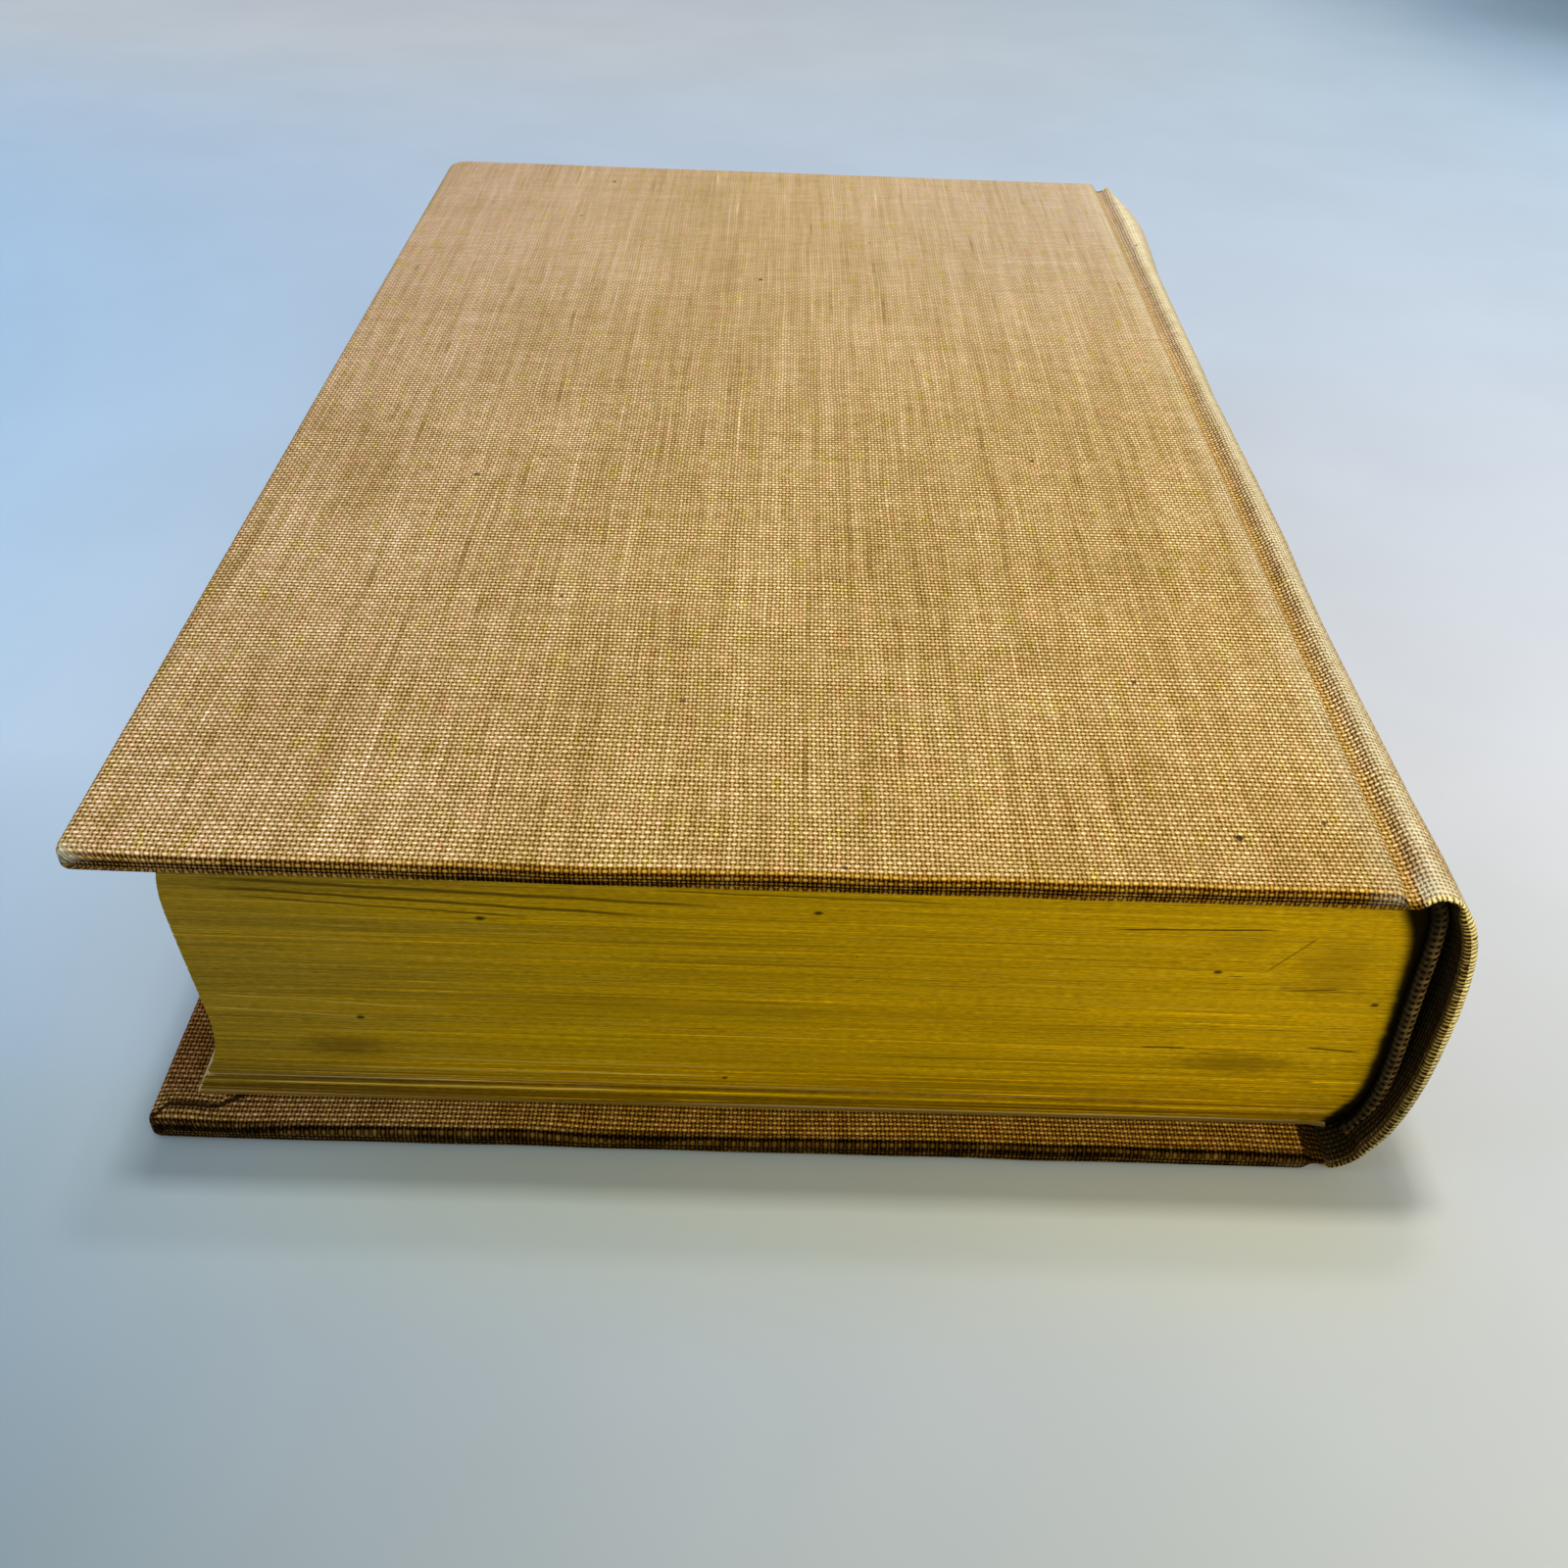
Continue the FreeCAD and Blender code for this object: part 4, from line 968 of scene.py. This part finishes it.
front_paste = sheet_grid("front_pastedown_sheet", paste_x, paste_y, front_paste_top, 0.15, edge_tan)
rear_paste = sheet_grid("rear_pastedown_sheet", paste_x, paste_y, rear_paste_top, 0.15, edge_tan)
for obj, body in ((front_leaf, "text_block"), (rear_leaf, "text_block")):
    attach(obj, body)
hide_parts("front_flyleaf")
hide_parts("rear_flyleaf")
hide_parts("front_pastedown", "front_super_flange")
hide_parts("rear_pastedown", "rear_super_flange")
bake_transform(front_paste)
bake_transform(rear_paste)
for obj in (front_leaf, rear_leaf, front_paste, rear_paste):
    obj.data.materials.append(paper_material)

# ----------------------------------------------------------------- headbands
BAND_PITCH = 1.0
BAND_PATH = [(146.4, 42.2), (147.3, 40.6), (147.95, 38.6), (148.40, 34.0), (148.6, 28.8), (148.9, 22.7),
             (149.25, 14.9), (149.0, 9.1), (147.9, 4.9), (146.2, 2.9)]


def head_band(name, end):
    """A core wrapped in two colours of thread, on its tape."""
    path = curve_through(BAND_PATH if end < 0 else [(x - 0.3, z) for x, z in BAND_PATH], 260)
    s = np.r_[0, np.cumsum(np.linalg.norm(np.diff(path, axis=0), axis=1))]
    nrm = normals_of(path)
    if nrm[len(nrm) // 2, 0] < 0:
        nrm = -nrm
    around = 24
    verts, uvs, faces = [], [], []
    y0 = end * 113.3
    for k in range(len(path)):
        fade = min(1.0, min(s[k], s[-1] - s[k]) / 0.8 + 0.35)
        for a in range(around):
            t = 2 * math.pi * a / around
            lay = s[k] + 0.20 * abs(0.95 * t - 1.55)
            ridge = 0.02 * math.cos(6 * math.pi * lay / BAND_PITCH) - 0.07 * math.sin(2 * math.pi * lay / BAND_PITCH)
            ridge -= 0.14 * math.exp(-((0.95 * t - 1.55) / 0.3) ** 2)
            radius = (0.90 + ridge) * fade
            out = radius * math.cos(t) * 1.02
            up = radius * math.sin(t) * 0.98
            verts.append((path[k, 0] + nrm[k, 0] * out, y0 + end * up, path[k, 1] + nrm[k, 1] * out))
    count = len(path)
    for k in range(count - 1):
        for a in range(around):
            b = (a + 1) % around
            faces.append((k * around + a, k * around + b, (k + 1) * around + b, (k + 1) * around + a))
            for kk, aa in ((k, a), (k, a + 1), (k + 1, a + 1), (k + 1, a)):
                uvs.append((s[kk], 0.95 * 2 * math.pi * aa / around))
    faces.append(tuple(range(around)))
    uvs += [(0, 0)] * around
    faces.append(tuple((count - 1) * around + a for a in range(around))[::-1])
    uvs += [(s[-1], 0)] * around
    base = len(verts)
    # Tape down the back.
    steps = 60
    zt = np.linspace(41.0, 5.2, steps)
    tape = np.c_[back_x(zt), zt]
    tn = normals_of(tape)
    if tn[steps // 2, 0] < 0:
        tn = -tn
    for k in range(steps):
        for y1 in (112.4, 104.6):
            for off in (0.02, 0.5):
                verts.append((tape[k, 0] + tn[k, 0] * off, end * y1, tape[k, 1] + tn[k, 1] * off))
    for k in range(steps - 1):
        p, q = base + 4 * k, base + 4 * (k + 1)
        for a, b in ((0, 1), (1, 3), (3, 2), (2, 0)):
            faces.append((p + a, p + b, q + b, q + a))
            uvs += [(k, 8 + a), (k, 8 + b), (k + 1, 8 + b), (k + 1, 8 + a)]
    faces.append((base, base + 1, base + 3, base + 2))
    uvs += [(0, 9)] * 4
    last = base + 4 * (steps - 1)
    faces.append((last, last + 2, last + 3, last + 1))
    uvs += [(0, 9)] * 4
    return object_from(name, verts, faces, uvs, None, 60)


thread_material = band_thread()
for name, end, node in (("head_band_sewn", -1, "head_band"), ("tail_band_sewn", 1, "tail_band")):
    band = head_band(name, end)
    band.data.materials.append(thread_material)
    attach(band, "text_block")
    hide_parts(node)

# ------------------------------------------------------- nodes that stay CAD
KEPT = {
    "spine_super": gauze(),
    "spine_lining_paper": plain_fibrous("lining_paper", srgb(120, 92, 58), srgb(158, 126, 84), 0.8),
}
for node, material in KEPT.items():
    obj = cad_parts[node]
    obj.data.materials.clear()
    obj.data.materials.append(material)

# ------------------------------------------------------- floor, light, camera
scene = bpy.context.scene
scene.view_settings.view_transform = "Standard"
scene.view_settings.look = "None"
scene.view_settings.exposure = 0.0


def stage_floor():
    n = Nodes("stage_floor", 0.80, Specular_IOR_Level=0.1)
    x, y, z = n.object_mm()
    grain = n.noise(x, y, z, 0.02, 3.0, 0.5)
    # Backdrop paper with painted light: bluer to the left from blue window light, dimmer towards the camera and behind
    # where the light falls off.
    across = n.ramp(x, -290.0, 330.0, -2.9, 3.3, "LINEAR")
    away = n.ramp(y, -170.0, 420.0, -1.7, 4.2, "LINEAR")
    near = n.ramp(y, -170.0, -40.0, 1.0, 0.0, "LINEAR")
    bands = []
    for c0, cx, cy, cxx, cxy, cyy, cn, cnx in ((0.5504, 0.0961, -0.0651, 0.0001, -0.0225, 0.0153, -0.3179, 0.0722),
                                               (0.6233, 0.0555, -0.0450, 0.0068, -0.0087, 0.0090, -0.3021, 0.1008),
                                               (0.7227, 0.0094, -0.0182, 0.0125, 0.0053, -0.0002, -0.3359, 0.1115)):
        part = n.add(n.mul(across, n.add(n.mul(across, cxx), cx)), n.mul(away, n.add(n.mul(away, cyy), cy)))
        part = n.add(n.add(part, n.mul(n.mul(across, away), cxy)), c0)
        part = n.add(part, n.mul(near, n.add(n.mul(across, cnx), cn)))
        bands.append(n.math("MINIMUM", n.math("MAXIMUM", part, 0.20), 0.86))
    color = n.vector(*bands)
    # Painted shade in the far right corner, where the backdrop falls off from the light.
    corner_shade = n.mul(n.ramp(y, 330.0, 560.0), n.ramp(x, 190.0, 380.0))
    color = n.tint(corner_shade, color, (0.42, 0.46, 0.50))
    # Painted warm bounce light from the gilt edge on the paper in front of it.
    gilt_bounce = n.mul(n.ramp(y, -150.0, -119.0), n.mul(n.ramp(x, -90.0, -20.0, 0.25, 1.0), n.ramp(x, 62.0, 92.0, 1.0, 0.0)))
    color = n.tint(n.mul(gilt_bounce, n.ramp(y, -112.0, -104.0, 1.0, 0.0)), color, (1.02, 1.00, 0.80))
    # Plain and pale outside the photograph's view.
    outside = n.math("MAXIMUM", n.ramp(y, -175.0, -430.0, 0.0, 1.0), n.ramp(x, -340.0, -600.0, 0.0, 1.0))
    outside = n.math("MAXIMUM", outside, n.math("MAXIMUM", n.ramp(y, 590.0, 850.0), n.ramp(x, 430.0, 680.0)))
    color = n.mix(outside, color, (0.47, 0.49, 0.52, 1.0))
    n.color(n.scaled(color, n.ramp(grain, 0.3, 0.7, 0.98, 1.02)))
    profile = [(-1500, 0), (900, 0)]
    profile += [(900 + 400 * math.sin(t), 400 - 400 * math.cos(t)) for t in np.linspace(0.1, math.pi / 2, 16)]
    profile += [(1300, 1500)]
    verts, faces = [], []
    for px in (-1800, 1800):
        for py, pz in profile:
            verts.append((px * MM, py * MM, pz * MM))
    m = len(profile)
    for k in range(m - 1):
        faces.append((k, k + m, k + m + 1, k + 1))
    mesh = bpy.data.meshes.new("stage_sweep")
    mesh.from_pydata(verts, [], faces)
    for polygon in mesh.polygons:
        polygon.use_smooth = True
    obj = bpy.data.objects.new("stage_sweep", mesh)
    scene.collection.objects.link(obj)
    obj.data.materials.append(n.material)


stage_floor()


def area_light(name, place, target, size, power, color):
    data = bpy.data.lights.new(name, "AREA")
    data.shape = "RECTANGLE"
    data.size, data.size_y = size
    data.energy = power
    data.color = color
    obj = bpy.data.objects.new(name, data)
    scene.collection.objects.link(obj)
    obj.location = place
    direction = Vector(target) - Vector(place)
    obj.rotation_euler = direction.to_track_quat("-Z", "Y").to_euler()
    return obj


# Two small overhead panels give the narrow double shadow in front of the
# book; the rest is soft fill.
area_light("key", (-0.050, 0.040, 1.15), (-0.050, 0.040, 0.0), (0.15, 0.08), 5.5, (1.0, 0.975, 0.93))
area_light("key_behind", (0.060, 0.250, 1.15), (0.060, 0.250, 0.0), (0.15, 0.08), 1.95, (1.0, 0.98, 0.95))
area_light("left_fill", (-1.1, 0.0, 0.8), (0, 0, 0.02), (1.1, 0.9), 4.0, (0.70, 0.86, 1.0))
area_light("front_fill", (0.35, -1.1, 0.75), (0, -0.05, 0.03), (1.4, 0.8), 7.6, (1.0, 0.98, 0.94))
world = bpy.data.worlds.new("world")
scene.world = world
world.use_nodes = True
world.node_tree.nodes["Background"].inputs["Color"].default_value = (0.86, 0.92, 1.0, 1)
world.node_tree.nodes["Background"].inputs["Strength"].default_value = 0.33

camera_data = bpy.data.cameras.new("camera")
camera_data.sensor_fit = "HORIZONTAL"
camera_data.sensor_width = 36.0
camera_data.lens = 1567.0 / 1600.0 * 36.0
camera_data.clip_start = 0.01
camera = bpy.data.objects.new("camera", camera_data)
scene.collection.objects.link(camera)
yaw, pitch, roll = (math.radians(a) for a in (1.01, 38.48, 2.42))
forward = Vector((math.sin(yaw) * math.cos(pitch), math.cos(yaw) * math.cos(pitch), -math.sin(pitch)))
right = Vector((math.cos(yaw), -math.sin(yaw), 0.0))
up = right.cross(forward)
right2 = right * math.cos(roll) + up * math.sin(roll)
up2 = up * math.cos(roll) - right * math.sin(roll)
place = Vector(((73.4 - HALF_W) * MM, (-118.8 - HALF_H) * MM, 152.7 * MM))
camera.matrix_world = Matrix((
    (right2.x, up2.x, -forward.x, place.x),
    (right2.y, up2.y, -forward.y, place.y),
    (right2.z, up2.z, -forward.z, place.z),
    (0, 0, 0, 1)))
scene.camera = camera
